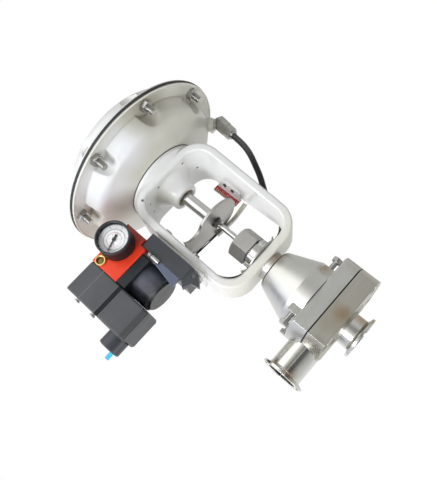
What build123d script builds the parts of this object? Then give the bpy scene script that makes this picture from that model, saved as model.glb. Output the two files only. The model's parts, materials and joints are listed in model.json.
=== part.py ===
from build123d import *

# Sanitary angle diaphragm valve with a spring-and-diaphragm actuator, a cast yoke and a positioner.
#
# Millimetres. The origin is the centre of the outlet ferrule's face, +Z runs up the stem to the
# actuator and the inlet ferrule points to -X. The positioner hangs on the yoke's -X leg.

import os
from math import atan2, cos, degrees, hypot, radians, sin, sqrt

os.makedirs("parts", exist_ok=True)

# ---------------------------------------------------------------- process connections
tube_od = 38.1
tube_bore = 34.8
ferrule_od = 50.5
ferrule_rim = 2.8
ferrule_taper = 2.0
groove_diameter = 43.6
groove_depth = 1.3
inlet_reach = 86.0
inlet_height = 38.5
barrel_setback = 5.0
blank_wall = 6.0
inlet_overlap = 5.0

# ---------------------------------------------------------------- valve body and bonnet
body_radius = 56.0
body_offset = 5.0
body_flat = 36.0
barrel_end = 29.0
boss_drop = 2.5
edge_break = 0.8
floor_z = 21.0
parting_z = 44.0
flange_thick = 19.5
barrel_wall = 1.0
passage_radius = 7.0
passage_z = 32.5
seat_z = 36.0
seat_radius = 11.0
orifice_radius = 8.0
chamber_floor_z = 28.0
chamber_low_radius = 15.0
chamber_top_radius = 19.5
membrane_radius = 24.0
membrane_thick = 2.0
bolt_radius = 4.0
bolt_flats = 13.0
bolt_head = 6.0
bolt_engagement = 12.0
hole_clearance = 0.4
flange_screw_inset = 16.0
flange_screw_y = 25.0
flange_screw_head = 8.0
counterbore_depth = 9.0
socket_flats = 6.0
skirt_radius = 40.0
skirt_height = 17.5
side_screw_radius = 3.0
side_screw_flats = 10.0
side_screw_head = 5.0
side_screw_reach = 10.5
side_screw_y = 27.0
side_screw_rise = 6.0
lug_end = 31.5
lug_length = 14.0
lug_width = 12.5
lug_height = 12.5
shoulder_radius = 25.0
shoulder_z = 119.0
neck_radius = 18.0
neck_top_z = 129.0
thread_radius = 15.0
spigot_radius = 12.0
spigot_length = 15.0
dome_radius = 18.0
dome_height = 20.0
guide_height = 16.0

# ---------------------------------------------------------------- stem and packing
stem_radius = 3.75
running_fit = 0.05
packing_radius = 8.0
packing_ring = 5.0
packing_rings_count = 5
locknut_radius = 19.0
locknut_height = 10.0
locknut_slots = 8
yoke_washer_radius = 27.0
yoke_washer_thick = 2.0
packing_nut_flats = 34.0
packing_nut_height = 22.0
packing_nut_cap = 6.0
travel = 12.0
plate_z = 212.0
plate_thick = 3.0
stem_nut_flats = 10.5
stem_nut_height = 5.0
stem_washer_radius = 7.0
stem_washer_thick = 1.5
actuator_stem_radius = 8.0
stem_thread_depth = 12.0
compressor_radius = 12.0
compressor_height = 12.0
membrane_gap = 0.3

# ---------------------------------------------------------------- yoke
leg_outer = 61.0
leg_thick = 10.5
yoke_bottom_z = 129.0
wall_bottom = 11.0
window_top_z = 284.0
loop_top_z = 293.0
casing_z = 299.0
pad_radius = 52.0
width_bottom = 42.0
width_top = 80.0
corner_outer = 31.0
corner_inner = 22.0
boss_radius = 17.5
boss_end_z = 262.0
bushing_radius = 12.0
bushing_recess = 4.0
slot_width = 18.0
slot_low = 3.5
slot_high = 3.5

# ---------------------------------------------------------------- actuator
rim_radius = 116.0
rim_width = 17.0
bolt_inset = 10.7
sheet = 2.0
pan_depth = 34.0
diaphragm_thick = 3.0
diaphragm_proud = 0.8
cover_height = 46.0
casing_bolts_count = 8
first_bolt_angle = 16.0
scallop_radius = 16.0
casing_bolt_end = 17.0
casing_nut_height = 6.5
convolution_inset = 13.0
roll_width = 16.0
plate_sheet = 2.5
plate_lip = 5.0
membrane_drop = 21.0
membrane_sheet = 2.4
clamp_collar_radius = 22.0
clamp_collar_thick = 3.0
clamp_nut_flats = 19.0
clamp_nut_height = 7.0
spigot_stem_radius = 6.0
spring_radius = 32.0
spring_wire = 3.2
spring_turns = 5
spring_cup_radius = 40.0
seat_thick = 3.0
seat_bore_radius = 12.0
seat_lip = 5.0
seat_step = 1.5
vent_radius = 6.0
vent_flats = 13.8
vent_height = 5.0
vent_place = 45.0
pad_screw_circle = 38.0
pad_screw_radius = 3.0
pad_screw_depth = 7.0
pad_screw_head = 4.0
pad_screw_flats = 10.0

# ---------------------------------------------------------------- air line
air_boss_inset = 2.5
air_boss_drop = 18.5
air_boss_turn = 5.0
air_boss_tilt = 45.0
air_boss_radius = 9.0
air_boss_reach = 6.0
air_boss_root = 8.0
nipple_radius = 5.0
elbow_lean = 6.0
elbow_flats = 16.0
elbow_stand = 9.5
elbow_arm = 11.0
elbow_nut_flats = 15.0
elbow_nut_length = 14.0
elbow_nut_cone = 3.0
tube_drop = 50.0
tube_radius = 4.0
fitting_arm = 10.0
fitting_radius = 7.0
fitting_inset = 9.0
fitting_y = 38.0
fitting_z = 224.0
tube_socket = 4.0

# ---------------------------------------------------------------- positioner
front_y = -40.0
bracket_thick = 3.5
bracket_recess = 10.0
bracket_margin = 8.0
housing_width = 18.5
housing_low_z = 180.0
housing_high_z = 244.0
housing_back_y = 20.0
housing_wall = 3.0
pocket_back_y = 14.0
manifold_left = 132.0
manifold_right = 75.0
manifold_low_z = 235.5
manifold_high_z = 274.0
manifold_back_y = 8.0
chamber_x = 107.5
chamber_y = -9.0
chamber_radius = 24.0
chamber_low_z = 194.0
chamber_plate_z = 223.0
gauge_x = 100.0
gauge_z = 263.0
gauge_radius = 20.0
gauge_depth = 24.0
gauge_neck = 2.0
gauge_rest_angle = 197.0
port_x = 125.0
port_z = 267.0
port_radius = 4.5
port_bore = 2.8
module_left = 173.0
module_back_y = 5.0
module_low_z = 182.5
joint_low_z = 223.0
joint_high_z = 228.5
module_split_z = 254.0
module_high_z = 273.0
joint_inset = 1.5
entry_y = -18.0
entry_z = 195.5
entry_radius = 13.5
entry_bore = 9.0
entry_length = 17.0
terminal_screw_y = -25.0
terminal_screw_radius = 2.6
pivot_y = -24.0
cover_width = 12.0
cover_top_width = 3.5
cover_depth = 6.5
cover_margin = 4.0
cover_screw_length = 9.0
cover_screw_width = 4.0
terminal_screw_length = 4.0
terminal_screw_lift = 5.0
bracket_screw_y = 16.0
bracket_screw_z = (196.0, 240.0)
bracket_screw_radius = 2.5
lever_pin_radius = 1.6
lever_gap = 0.2
lever_shaft_radius = 2.0
lever_hub_radius = 5.0
lever_plate_x = 76.5
lever_thick = 2.5
tongue_end = 75.0
tongue_half = 6.0
disc_radius = 33.0
arm_gap = 2.5
arm_rear = 26.0
arm_front = 28.0
arc_start = 232.0
pointer_thick = 1.5
pointer_drop = 3.0
pointer_foot = 12.0
pointer_y = 28.0
pointer_width = 5.0
pointer_gap = 1.0

# ---------------------------------------------------------------- travel scale
scale_x = 39.8
scale_width = 7.0
scale_y = 33.0
scale_thick = 0.6
scale_low_z = 220.0
scale_high_z = 258.0
scale_plate = 1.2
scale_foot_y = 14.0
scale_screw_y = 21.0
scale_screw_radius = 2.4
scale_screw_pitch = 13.0

# ---------------------------------------------------------------- derived levels
flange_top_z = parting_z + flange_thick
skirt_z = flange_top_z + skirt_height
flange_screw_x = body_radius - flange_screw_inset
side_screw_z = flange_top_z + side_screw_rise
yoke_seat_z = yoke_bottom_z + wall_bottom
locknut_z = yoke_seat_z + yoke_washer_thick
packing_nut_z = locknut_z + locknut_height + 2.0
packing_top_z = packing_nut_z + packing_nut_height
spigot_top_z = packing_nut_z + spigot_length
guide_low_z = parting_z + dome_height
guide_high_z = guide_low_z + guide_height
plate_top_z = plate_z + plate_thick
stem_nut_z = plate_z - stem_washer_thick - stem_nut_height
leg_inner = leg_outer - leg_thick
bracket_x = leg_outer + bracket_thick
housing_x = bracket_x + housing_width
diaphragm_rim_z = casing_z + pan_depth
flange_low_z = diaphragm_rim_z - sheet
upper_flange_z = diaphragm_rim_z + diaphragm_thick
casing_top_z = upper_flange_z + cover_height
pan_radius = rim_radius - rim_width
bolt_circle = rim_radius - bolt_inset
convolution_radius = pan_radius - convolution_inset
plate_radius = convolution_radius - roll_width
membrane_low_z = diaphragm_rim_z - membrane_drop
stem_shoulder_z = membrane_low_z - clamp_collar_thick
plate_seat_z = membrane_low_z + membrane_sheet
clamp_nut_z = plate_seat_z + plate_sheet


def band_half_width(z):
    """Half of the yoke band's width in Y at height z: it tapers from the top wall to the bottom wall."""
    share = (z - yoke_bottom_z) / (window_top_z - yoke_bottom_z)
    return (width_bottom + share * (width_top - width_bottom)) / 2


def block_plan():
    """Plan shared by the valve body and the bonnet's flange: a round with two flats."""
    with Locations((body_offset, 0)):
        Circle(body_radius)
    Rectangle(4 * body_radius, 2 * body_flat, mode=Mode.INTERSECT)


def flange_screw_circles(radius):
    """A circle at each of the four screws that hold the bonnet on the body."""
    with Locations((body_offset, 0)):
        with GridLocations(2 * flange_screw_x, 2 * flange_screw_y, 2, 2):
            Circle(radius)


def ferrule_outline(length):
    """Half section of a clamp ferrule on its tube, face at 0, as (along, radius) points."""
    return [
        (0, tube_bore / 2),
        (0, ferrule_od / 2),
        (ferrule_rim, ferrule_od / 2),
        (ferrule_rim + ferrule_taper, tube_od / 2 + 0.8),
        (ferrule_rim + ferrule_taper + 1.5, tube_od / 2),
        (length, tube_od / 2),
        (length, tube_bore / 2),
    ]


# ================================================================ valve body
with BuildPart() as valve_body:
    with BuildSketch(Plane.XY.offset(floor_z)):
        block_plan()
    extrude(amount=parting_z - floor_z)
    chamfer(valve_body.edges().filter_by(GeomType.LINE).group_by(Axis.Z)[0], edge_break)
    barrel_radius = tube_od / 2 + barrel_wall
    barrel_start = body_radius - body_offset - barrel_setback
    with BuildSketch(Plane.YZ.offset(-barrel_start)):
        with Locations((0, inlet_height)):
            Circle(barrel_radius)
        with Locations((0, (parting_z + floor_z) / 2 - boss_drop)):
            Rectangle(2 * barrel_radius, parting_z - floor_z, mode=Mode.INTERSECT)
    extrude(amount=barrel_start + barrel_end)
    with BuildSketch(Plane.XY.offset(floor_z - boss_drop)):
        Circle(tube_od / 2 + 1.5)
    extrude(amount=boss_drop)
    with BuildSketch(Plane.XY.offset(parting_z)):
        Circle(membrane_radius + hole_clearance)
    extrude(amount=-membrane_thick, mode=Mode.SUBTRACT)
    with BuildSketch(Plane.XZ):
        with BuildLine():
            Polyline(
                (0, parting_z - membrane_thick),
                (chamber_top_radius, parting_z - membrane_thick),
                (chamber_low_radius, chamber_floor_z),
                (seat_radius, chamber_floor_z),
                (seat_radius, seat_z),
                (0, seat_z),
                close=True,
            )
        make_face()
    revolve(axis=Axis.Z, mode=Mode.SUBTRACT)
    with BuildSketch(Plane.XY.offset(seat_z)):
        Circle(orifice_radius)
    extrude(amount=-(seat_z - floor_z + boss_drop), mode=Mode.SUBTRACT)
    with BuildSketch(Plane.YZ.offset(-body_radius)):
        with Locations((0, passage_z)):
            Circle(passage_radius)
    extrude(amount=body_radius - seat_radius - 2.0, mode=Mode.SUBTRACT)
    with BuildSketch(Plane.XY.offset(floor_z)):
        flange_screw_circles(bolt_radius + hole_clearance)
    extrude(amount=parting_z - floor_z, mode=Mode.SUBTRACT)
    with BuildSketch(Plane.XY.offset(floor_z)):
        flange_screw_circles(bolt_flats / 2 + hole_clearance)
    extrude(amount=counterbore_depth, mode=Mode.SUBTRACT)
valve_body.part.label = "valve_body"
export_step(valve_body.part, "parts/valve_body.step")

with BuildPart() as outlet_ferrule:
    with BuildSketch(Plane.XZ):
        with BuildLine():
            Polyline(*[(r, z) for z, r in ferrule_outline(floor_z - boss_drop)], close=True)
        make_face()
    revolve(axis=Axis.Z)
    with BuildSketch(Plane.XY):
        Circle(groove_diameter / 2 + 1.3)
        Circle(groove_diameter / 2 - 1.3, mode=Mode.SUBTRACT)
    extrude(amount=groove_depth, mode=Mode.SUBTRACT)
outlet_ferrule.part.label = "outlet_ferrule"
export_step(outlet_ferrule.part, "parts/outlet_ferrule.step")

inlet_axis = Axis((0, 0, inlet_height), (1, 0, 0))
with BuildPart() as inlet_ferrule:
    with BuildSketch(Plane.XZ):
        with BuildLine():
            Polyline(
                *[(z - inlet_reach, inlet_height + r) for z, r in ferrule_outline(inlet_reach - barrel_start)],
                close=True,
            )
        make_face()
    revolve(axis=inlet_axis)
    with BuildSketch(Plane.YZ.offset(-barrel_start - inlet_overlap - blank_wall)):
        with Locations((0, inlet_height)):
            Circle(tube_bore / 2)
        with Locations((0, passage_z)):
            Circle(passage_radius, mode=Mode.SUBTRACT)
    extrude(amount=blank_wall + inlet_overlap)
    with BuildSketch(Plane.YZ.offset(-inlet_reach)):
        with Locations((0, inlet_height)):
            Circle(groove_diameter / 2 + 1.3)
            Circle(groove_diameter / 2 - 1.3, mode=Mode.SUBTRACT)
    extrude(amount=groove_depth, mode=Mode.SUBTRACT)
    with BuildSketch(Plane.XY):
        with Locations((body_offset, 0)):
            Circle(body_radius)
    extrude(amount=inlet_height + ferrule_od, mode=Mode.SUBTRACT)
inlet_ferrule.part.label = "inlet_ferrule"
export_step(inlet_ferrule.part, "parts/inlet_ferrule.step")

# ================================================================ diaphragm and bonnet
membrane_flat = chamber_top_radius - 0.5
with BuildPart() as process_diaphragm:
    with BuildSketch(Plane.XZ):
        with BuildLine():
            Polyline(
                (0, seat_z),
                (seat_radius - 1.5, seat_z),
                (membrane_flat, parting_z - membrane_thick),
                (membrane_radius, parting_z - membrane_thick),
                (membrane_radius, parting_z),
                (membrane_flat - 0.6, parting_z),
                (seat_radius - 2.1, seat_z + membrane_thick),
                (0, seat_z + membrane_thick),
                close=True,
            )
        make_face()
    revolve(axis=Axis.Z)
process_diaphragm.part.label = "process_diaphragm"
export_step(process_diaphragm.part, "parts/process_diaphragm.step")

compressor_z = seat_z + membrane_thick + membrane_gap
with BuildPart() as compressor:
    with BuildSketch(Plane.XZ):
        with BuildLine():
            Polyline(
                (0, compressor_z),
                (seat_radius - 3.0, compressor_z),
                (compressor_radius, compressor_z + 2.8),
                (compressor_radius, compressor_z + 6.0),
                (stem_radius + 2.0, compressor_z + compressor_height),
                (0, compressor_z + compressor_height),
                close=True,
            )
        make_face()
    revolve(axis=Axis.Z)
    with BuildSketch(Plane.XY.offset(compressor_z + compressor_height)):
        Circle(stem_radius)
    extrude(amount=4.0 - compressor_height, mode=Mode.SUBTRACT)
compressor.part.label = "compressor"
export_step(compressor.part, "parts/compressor.step")

with BuildPart() as bonnet:
    with BuildSketch(Plane.XY.offset(parting_z)):
        block_plan()
    extrude(amount=flange_thick)
    chamfer(bonnet.edges().filter_by(GeomType.LINE).group_by(Axis.Z)[-1], edge_break)
    with BuildSketch(Plane.XY.offset(flange_top_z)):
        with GridLocations(2 * lug_end - lug_length, 2 * side_screw_y, 2, 2):
            Rectangle(lug_length, lug_width)
    extrude(amount=lug_height)
    chamfer(bonnet.faces().filter_by(Axis.Z).group_by(Axis.Z)[-1].edges(), edge_break)
    with BuildSketch(Plane.XZ):
        with BuildLine():
            Polyline(
                (0, flange_top_z),
                (skirt_radius, flange_top_z),
                (skirt_radius, skirt_z),
                (shoulder_radius, shoulder_z),
                (shoulder_radius - 2.0, shoulder_z + 2.0),
                (neck_radius, shoulder_z + 2.5),
                (neck_radius, neck_top_z),
                (thread_radius, neck_top_z),
                (thread_radius, packing_nut_z - 1.0),
                (spigot_radius, packing_nut_z - 1.0),
                (spigot_radius, spigot_top_z),
                (0, spigot_top_z),
                close=True,
            )
        make_face()
    revolve(axis=Axis.Z)
    with BuildSketch(Plane.XZ):
        with BuildLine():
            Polyline(
                (0, parting_z),
                (dome_radius, parting_z),
                (dome_radius, guide_low_z - 5.0),
                (dome_radius - 5.0, guide_low_z),
                (packing_radius, guide_low_z),
                (packing_radius, spigot_top_z),
                (0, spigot_top_z),
                close=True,
            )
        make_face()
    revolve(axis=Axis.Z, mode=Mode.SUBTRACT)
    with BuildSketch(Plane.XY.offset(parting_z)):
        flange_screw_circles(bolt_radius + running_fit)
    extrude(amount=bolt_engagement, mode=Mode.SUBTRACT)
    for side in (-1, 1):
        with BuildSketch(Plane.YZ.offset(side * skirt_radius)):
            with Locations((-side_screw_y, side_screw_z), (side_screw_y, side_screw_z)):
                Circle(side_screw_radius + running_fit)
        extrude(amount=-side * (skirt_radius - lug_end + lug_length), mode=Mode.SUBTRACT)
bonnet.part.label = "bonnet"
export_step(bonnet.part, "parts/bonnet.step")

screw_seat_z = floor_z + counterbore_depth
side_screw_root = lug_end - lug_length + 1.0
with BuildPart() as bonnet_bolts:
    with BuildSketch(Plane.XY.offset(screw_seat_z)):
        flange_screw_circles(bolt_radius)
    extrude(amount=parting_z - screw_seat_z + bolt_engagement - 1.0)
    with BuildSketch(Plane.XY.offset(screw_seat_z - flange_screw_head)):
        flange_screw_circles(bolt_flats / 2)
    extrude(amount=flange_screw_head)
    with BuildSketch(Plane.XY.offset(screw_seat_z - flange_screw_head)):
        with Locations((body_offset, 0)):
            with GridLocations(2 * flange_screw_x, 2 * flange_screw_y, 2, 2):
                RegularPolygon(socket_flats / 2, 6, major_radius=False)
    extrude(amount=flange_screw_head / 2, mode=Mode.SUBTRACT)
    for side in (-1, 1):
        with BuildSketch(Plane.YZ.offset(side * side_screw_root)):
            with Locations((-side_screw_y, side_screw_z), (side_screw_y, side_screw_z)):
                Circle(side_screw_radius)
        extrude(amount=side * (lug_end + side_screw_reach - side_screw_root))
        with BuildSketch(Plane.YZ.offset(side * (lug_end + side_screw_reach))):
            with Locations((-side_screw_y, side_screw_z), (side_screw_y, side_screw_z)):
                RegularPolygon(side_screw_flats / 2, 6, major_radius=False)
        extrude(amount=side * side_screw_head)
bonnet_bolts.part.label = "bonnet_bolts"
export_step(bonnet_bolts.part, "parts/bonnet_bolts.step")

# ================================================================ stem guide and packing
with BuildPart() as stem_bushing:
    with BuildSketch(Plane.XY.offset(guide_low_z)):
        Circle(packing_radius)
        Circle(stem_radius + running_fit, mode=Mode.SUBTRACT)
    extrude(amount=guide_height)
stem_bushing.part.label = "stem_bushing"
export_step(stem_bushing.part, "parts/stem_bushing.step")

with BuildPart() as packing_set:
    for step in range(packing_rings_count):
        with BuildSketch(Plane.XY.offset(guide_high_z + step * packing_ring)):
            Circle(packing_radius)
            Circle(stem_radius + running_fit, mode=Mode.SUBTRACT)
        extrude(amount=packing_ring - 0.2)
packing_set.part.label = "packing_rings"
export_step(packing_set.part, "parts/packing_rings.step")

follower_z = guide_high_z + packing_rings_count * packing_ring - 0.2
with BuildPart() as packing_follower:
    with BuildSketch(Plane.XY.offset(follower_z)):
        Circle(packing_radius - 0.1)
    extrude(amount=spigot_top_z - follower_z)
    with BuildSketch(Plane.XY.offset(spigot_top_z)):
        Circle(spigot_radius - 1.0)
    extrude(amount=packing_top_z - packing_nut_cap - spigot_top_z)
    with BuildSketch(Plane.XY.offset(follower_z)):
        Circle(stem_radius + 0.3)
    extrude(amount=packing_top_z - follower_z, mode=Mode.SUBTRACT)
packing_follower.part.label = "packing_follower"
export_step(packing_follower.part, "parts/packing_follower.step")

with BuildPart() as packing_nut:
    with BuildSketch(Plane.XY.offset(packing_nut_z)):
        RegularPolygon(packing_nut_flats / 2, 6, major_radius=False)
    extrude(amount=packing_nut_height)
    with BuildSketch(Plane.XZ):
        with BuildLine():
            Polyline(
                (packing_nut_flats / 2 + 0.4, packing_top_z),
                (packing_nut_flats, packing_top_z),
                (packing_nut_flats, packing_top_z - 9.0),
                close=True,
            )
        make_face()
    revolve(axis=Axis.Z, mode=Mode.SUBTRACT)
    with BuildSketch(Plane.XY.offset(packing_nut_z)):
        Circle(spigot_radius)
    extrude(amount=packing_nut_height - packing_nut_cap, mode=Mode.SUBTRACT)
    with BuildSketch(Plane.XY.offset(packing_nut_z)):
        Circle(stem_radius + 0.6)
    extrude(amount=packing_nut_height, mode=Mode.SUBTRACT)
packing_nut.part.label = "packing_nut"
export_step(packing_nut.part, "parts/packing_nut.step")

with BuildPart() as yoke_locknut:
    with BuildSketch(Plane.XY.offset(locknut_z)):
        Circle(locknut_radius)
        Circle(thread_radius, mode=Mode.SUBTRACT)
        with PolarLocations(locknut_radius, locknut_slots, start_angle=22.5):
            Rectangle(5.0, 5.0, mode=Mode.SUBTRACT)
    extrude(amount=locknut_height)
yoke_locknut.part.label = "yoke_locknut"
export_step(yoke_locknut.part, "parts/yoke_locknut.step")

with BuildPart() as yoke_washer:
    with BuildSketch(Plane.XY.offset(yoke_seat_z)):
        Circle(yoke_washer_radius)
        Circle(thread_radius, mode=Mode.SUBTRACT)
    extrude(amount=yoke_washer_thick)
yoke_washer.part.label = "yoke_washer"
export_step(yoke_washer.part, "parts/yoke_washer.step")

# ================================================================ yoke
loop_mid_z = (yoke_bottom_z + loop_top_z) / 2
window_mid_z = (yoke_seat_z + window_top_z) / 2
with BuildPart() as yoke:
    with BuildSketch(Plane.XZ):
        with Locations((0, loop_mid_z)):
            RectangleRounded(2 * leg_outer, loop_top_z - yoke_bottom_z, corner_outer)
        with Locations((0, window_mid_z)):
            RectangleRounded(2 * leg_inner, window_top_z - yoke_seat_z, corner_inner, mode=Mode.SUBTRACT)
    extrude(amount=width_top, both=True)
    top_half = band_half_width(loop_top_z)
    with BuildSketch(Plane.YZ):
        with BuildLine():
            Polyline(
                (-width_bottom / 2, yoke_bottom_z),
                (width_bottom / 2, yoke_bottom_z),
                (top_half, loop_top_z),
                (-top_half, loop_top_z),
                close=True,
            )
        make_face()
    extrude(amount=leg_outer, both=True, mode=Mode.INTERSECT)
    fillet(yoke.edges().filter_by(GeomType.LINE).filter_by(lambda e: abs(e.center().X) > leg_inner - 1), 3.0)
    with BuildSketch(Plane.XZ):
        with BuildLine():
            Polyline(
                (0, loop_top_z - 5.0),
                (top_half - 2.0, loop_top_z - 5.0),
                (pad_radius, casing_z - 4.0),
                (pad_radius, casing_z),
                (0, casing_z),
                close=True,
            )
        make_face()
    revolve(axis=Axis.Z)
    with BuildSketch(Plane.XZ):
        with BuildLine():
            bell = Spline(
                (boss_radius, boss_end_z + 1.0),
                (boss_radius + 2.5, boss_end_z + 11.0),
                (boss_radius + 13.0, window_top_z),
                tangents=[(0, 1), (1, 0.4)],
            )
            Polyline(
                bell @ 1,
                (boss_radius + 13.0, window_top_z + 4.0),
                (0, window_top_z + 4.0),
                (0, boss_end_z),
                (boss_radius - 1.0, boss_end_z),
                bell @ 0,
            )
        make_face()
    revolve(axis=Axis.Z)
    with BuildSketch(Plane.XY.offset(boss_end_z)):
        Circle(bushing_radius)
    extrude(amount=casing_z - boss_end_z, mode=Mode.SUBTRACT)
    with BuildSketch(Plane.XY.offset(yoke_bottom_z)):
        Circle(thread_radius)
    extrude(amount=wall_bottom, mode=Mode.SUBTRACT)
    slot_floor = plate_z - slot_low
    slot_roof = plate_top_z + travel + slot_high
    with BuildSketch(Plane.YZ.offset(-leg_outer - 1.0)):
        with Locations((0, (slot_floor + slot_roof) / 2)):
            RectangleRounded(slot_width, slot_roof - slot_floor, 3.0)
    extrude(amount=leg_thick + 2.0, mode=Mode.SUBTRACT)
    with BuildSketch(Plane.YZ.offset(-leg_outer - 1.0)):
        for screw_z in bracket_screw_z:
            with Locations((-bracket_screw_y, screw_z), (bracket_screw_y, screw_z)):
                Circle(bracket_screw_radius + hole_clearance)
    extrude(amount=leg_thick + 2.0, mode=Mode.SUBTRACT)
    with Locations(Plane.XY.offset(casing_z)):
        with PolarLocations(pad_screw_circle, 4, start_angle=45):
            Hole(pad_screw_radius, depth=pad_screw_depth + 1.0)
yoke.part.label = "yoke"
export_step(yoke.part, "parts/yoke.step")

with BuildPart() as yoke_bushing:
    with BuildSketch(Plane.XY.offset(boss_end_z + bushing_recess)):
        Circle(bushing_radius)
    extrude(amount=casing_z + sheet - boss_end_z - bushing_recess)
    with BuildSketch(Plane.XY.offset(casing_z + sheet)):
        Circle(bushing_radius + 6.0)
    extrude(amount=3.0)
    with BuildSketch(Plane.XY.offset(boss_end_z)):
        Circle(actuator_stem_radius + running_fit)
    extrude(amount=casing_top_z - boss_end_z, mode=Mode.SUBTRACT)
yoke_bushing.part.label = "yoke_bushing"
export_step(yoke_bushing.part, "parts/yoke_bushing.step")

# ================================================================ moving stem
with BuildPart() as valve_stem:
    stem_foot_z = compressor_z + 4.0
    with BuildSketch(Plane.XY.offset(stem_foot_z)):
        Circle(stem_radius)
    extrude(amount=plate_top_z + stem_thread_depth - stem_foot_z)
valve_stem.part.label = "valve_stem"
export_step(valve_stem.part, "parts/valve_stem.step")

with BuildPart() as stem_nut:
    with BuildSketch(Plane.XY.offset(stem_nut_z)):
        RegularPolygon(stem_nut_flats / 2, 6, major_radius=False)
        Circle(stem_radius, mode=Mode.SUBTRACT)
    extrude(amount=stem_nut_height)
stem_nut.part.label = "stem_nut"
export_step(stem_nut.part, "parts/stem_nut.step")

with BuildPart() as stem_washer:
    with BuildSketch(Plane.XY.offset(plate_z - stem_washer_thick)):
        Circle(stem_washer_radius)
        Circle(stem_radius, mode=Mode.SUBTRACT)
    extrude(amount=stem_washer_thick)
stem_washer.part.label = "stem_washer"
export_step(stem_washer.part, "parts/stem_washer.step")

arm_x = leg_inner - arm_gap
rear_angle = 180 - degrees(atan2(arm_rear, sqrt(disc_radius**2 - arm_rear**2)))
with BuildPart() as takeoff_plate:
    with BuildSketch(Plane.XY.offset(plate_z)):
        with BuildLine():
            rim = CenterArc((0, 0), disc_radius, arc_start - 360, rear_angle + 360 - arc_start)
            Polyline(
                rim @ 1,
                (-arm_x, arm_rear),
                (-arm_x, tongue_half),
                (-tongue_end, tongue_half),
                (-tongue_end, -tongue_half),
                (-arm_x, -tongue_half),
                (-arm_x, -arm_front),
            )
            ThreePointArc((-arm_x, -arm_front), (-30.0, -15.5), rim @ 0)
        make_face()
        Circle(stem_radius, mode=Mode.SUBTRACT)
    extrude(amount=plate_thick)
takeoff_plate.part.label = "takeoff_plate"
export_step(takeoff_plate.part, "parts/takeoff_plate.step")

pointer_tip = leg_inner - scale_plate - pointer_gap
with BuildPart() as pointer:
    with BuildSketch(Plane.XY.offset(plate_z - pointer_drop - pointer_thick)):
        with BuildLine():
            Polyline(
                (-pointer_foot / 2, pointer_y - pointer_width * 0.9),
                (pointer_foot / 2, pointer_y - pointer_width * 0.5),
                (pointer_tip * 0.42, pointer_y + pointer_width * 0.3),
                (pointer_tip * 0.71, pointer_y),
                (pointer_tip * 0.97, pointer_y - pointer_width * 0.7),
                (pointer_tip, pointer_y - pointer_width * 0.2),
                (pointer_tip * 0.79, pointer_y + pointer_width * 0.6),
                (pointer_tip * 0.58, pointer_y + pointer_width * 1.4),
                (pointer_tip * 0.37, pointer_y + pointer_width * 1.4),
                (0.0, pointer_y + pointer_width * 0.8),
                (-pointer_foot / 2, pointer_y + pointer_width * 0.4),
                close=True,
            )
        make_face()
    extrude(amount=pointer_thick)
    with BuildSketch(Plane.XY.offset(plate_z - pointer_drop)):
        with Locations((0, pointer_y - pointer_width / 5)):
            Rectangle(pointer_foot, pointer_foot / 3)
    extrude(amount=pointer_drop)
pointer.part.label = "pointer"
export_step(pointer.part, "parts/pointer.step")

with BuildPart() as actuator_stem:
    with BuildSketch(Plane.XY.offset(plate_top_z)):
        Circle(actuator_stem_radius)
    extrude(amount=stem_shoulder_z - plate_top_z)
    chamfer(actuator_stem.edges().filter_by(GeomType.CIRCLE).group_by(Axis.Z)[0], 0.8)
    with BuildSketch(Plane.XY.offset(stem_shoulder_z)):
        Circle(clamp_collar_radius)
    extrude(amount=clamp_collar_thick)
    with BuildSketch(Plane.XY.offset(membrane_low_z)):
        Circle(spigot_stem_radius)
    extrude(amount=clamp_nut_z + clamp_nut_height + 2.0 - membrane_low_z)
    with BuildSketch(Plane.XY.offset(plate_top_z)):
        Circle(stem_radius)
    extrude(amount=stem_thread_depth, mode=Mode.SUBTRACT)
actuator_stem.part.label = "actuator_stem"
export_step(actuator_stem.part, "parts/actuator_stem.step")

with BuildPart() as diaphragm_plate:
    with BuildSketch(Plane.XZ):
        with BuildLine():
            Polyline(
                (spigot_stem_radius, plate_seat_z),
                (plate_radius, plate_seat_z),
                (plate_radius, clamp_nut_z + plate_lip),
                (plate_radius - plate_sheet, clamp_nut_z + plate_lip),
                (plate_radius - plate_sheet, clamp_nut_z),
                (spigot_stem_radius, clamp_nut_z),
                close=True,
            )
        make_face()
    revolve(axis=Axis.Z)
    fillet(diaphragm_plate.edges().filter_by(GeomType.CIRCLE).group_by(Axis.Z)[0].sort_by(Edge.length)[-1], 2.0)
diaphragm_plate.part.label = "diaphragm_plate"
export_step(diaphragm_plate.part, "parts/diaphragm_plate.step")

with BuildPart() as clamp_nut:
    with BuildSketch(Plane.XY.offset(clamp_nut_z)):
        RegularPolygon(clamp_nut_flats / 2, 6, major_radius=False)
        Circle(spigot_stem_radius, mode=Mode.SUBTRACT)
    extrude(amount=clamp_nut_height)
clamp_nut.part.label = "clamp_nut"
export_step(clamp_nut.part, "parts/clamp_nut.step")

# ================================================================ actuator casings
pan_foot_radius = pan_radius - 5.0
pan_foot_z = diaphragm_rim_z - 22.0
cover_foot_radius = pan_radius - 6.0
cover_foot_z = casing_top_z - 18.0
cover_flat_radius = pan_radius - 37.0


def inset(points, amount):
    """Path parallel to a polyline, `amount` to the right of its direction of travel."""
    shifted = []
    last = len(points) - 1
    for index, (x, z) in enumerate(points):
        before = points[max(index - 1, 0)]
        after = points[min(index + 1, last)]
        sides = []
        for (x0, z0), (x1, z1) in ((before, (x, z)), ((x, z), after)):
            span = hypot(x1 - x0, z1 - z0)
            if span > 0:
                sides.append(((z1 - z0) / span, -(x1 - x0) / span))
        nx = sum(side[0] for side in sides)
        nz = sum(side[1] for side in sides)
        scale = len(sides) * amount / (nx * nx + nz * nz)
        shifted.append((x + nx * scale, z + nz * scale))
    return shifted


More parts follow.
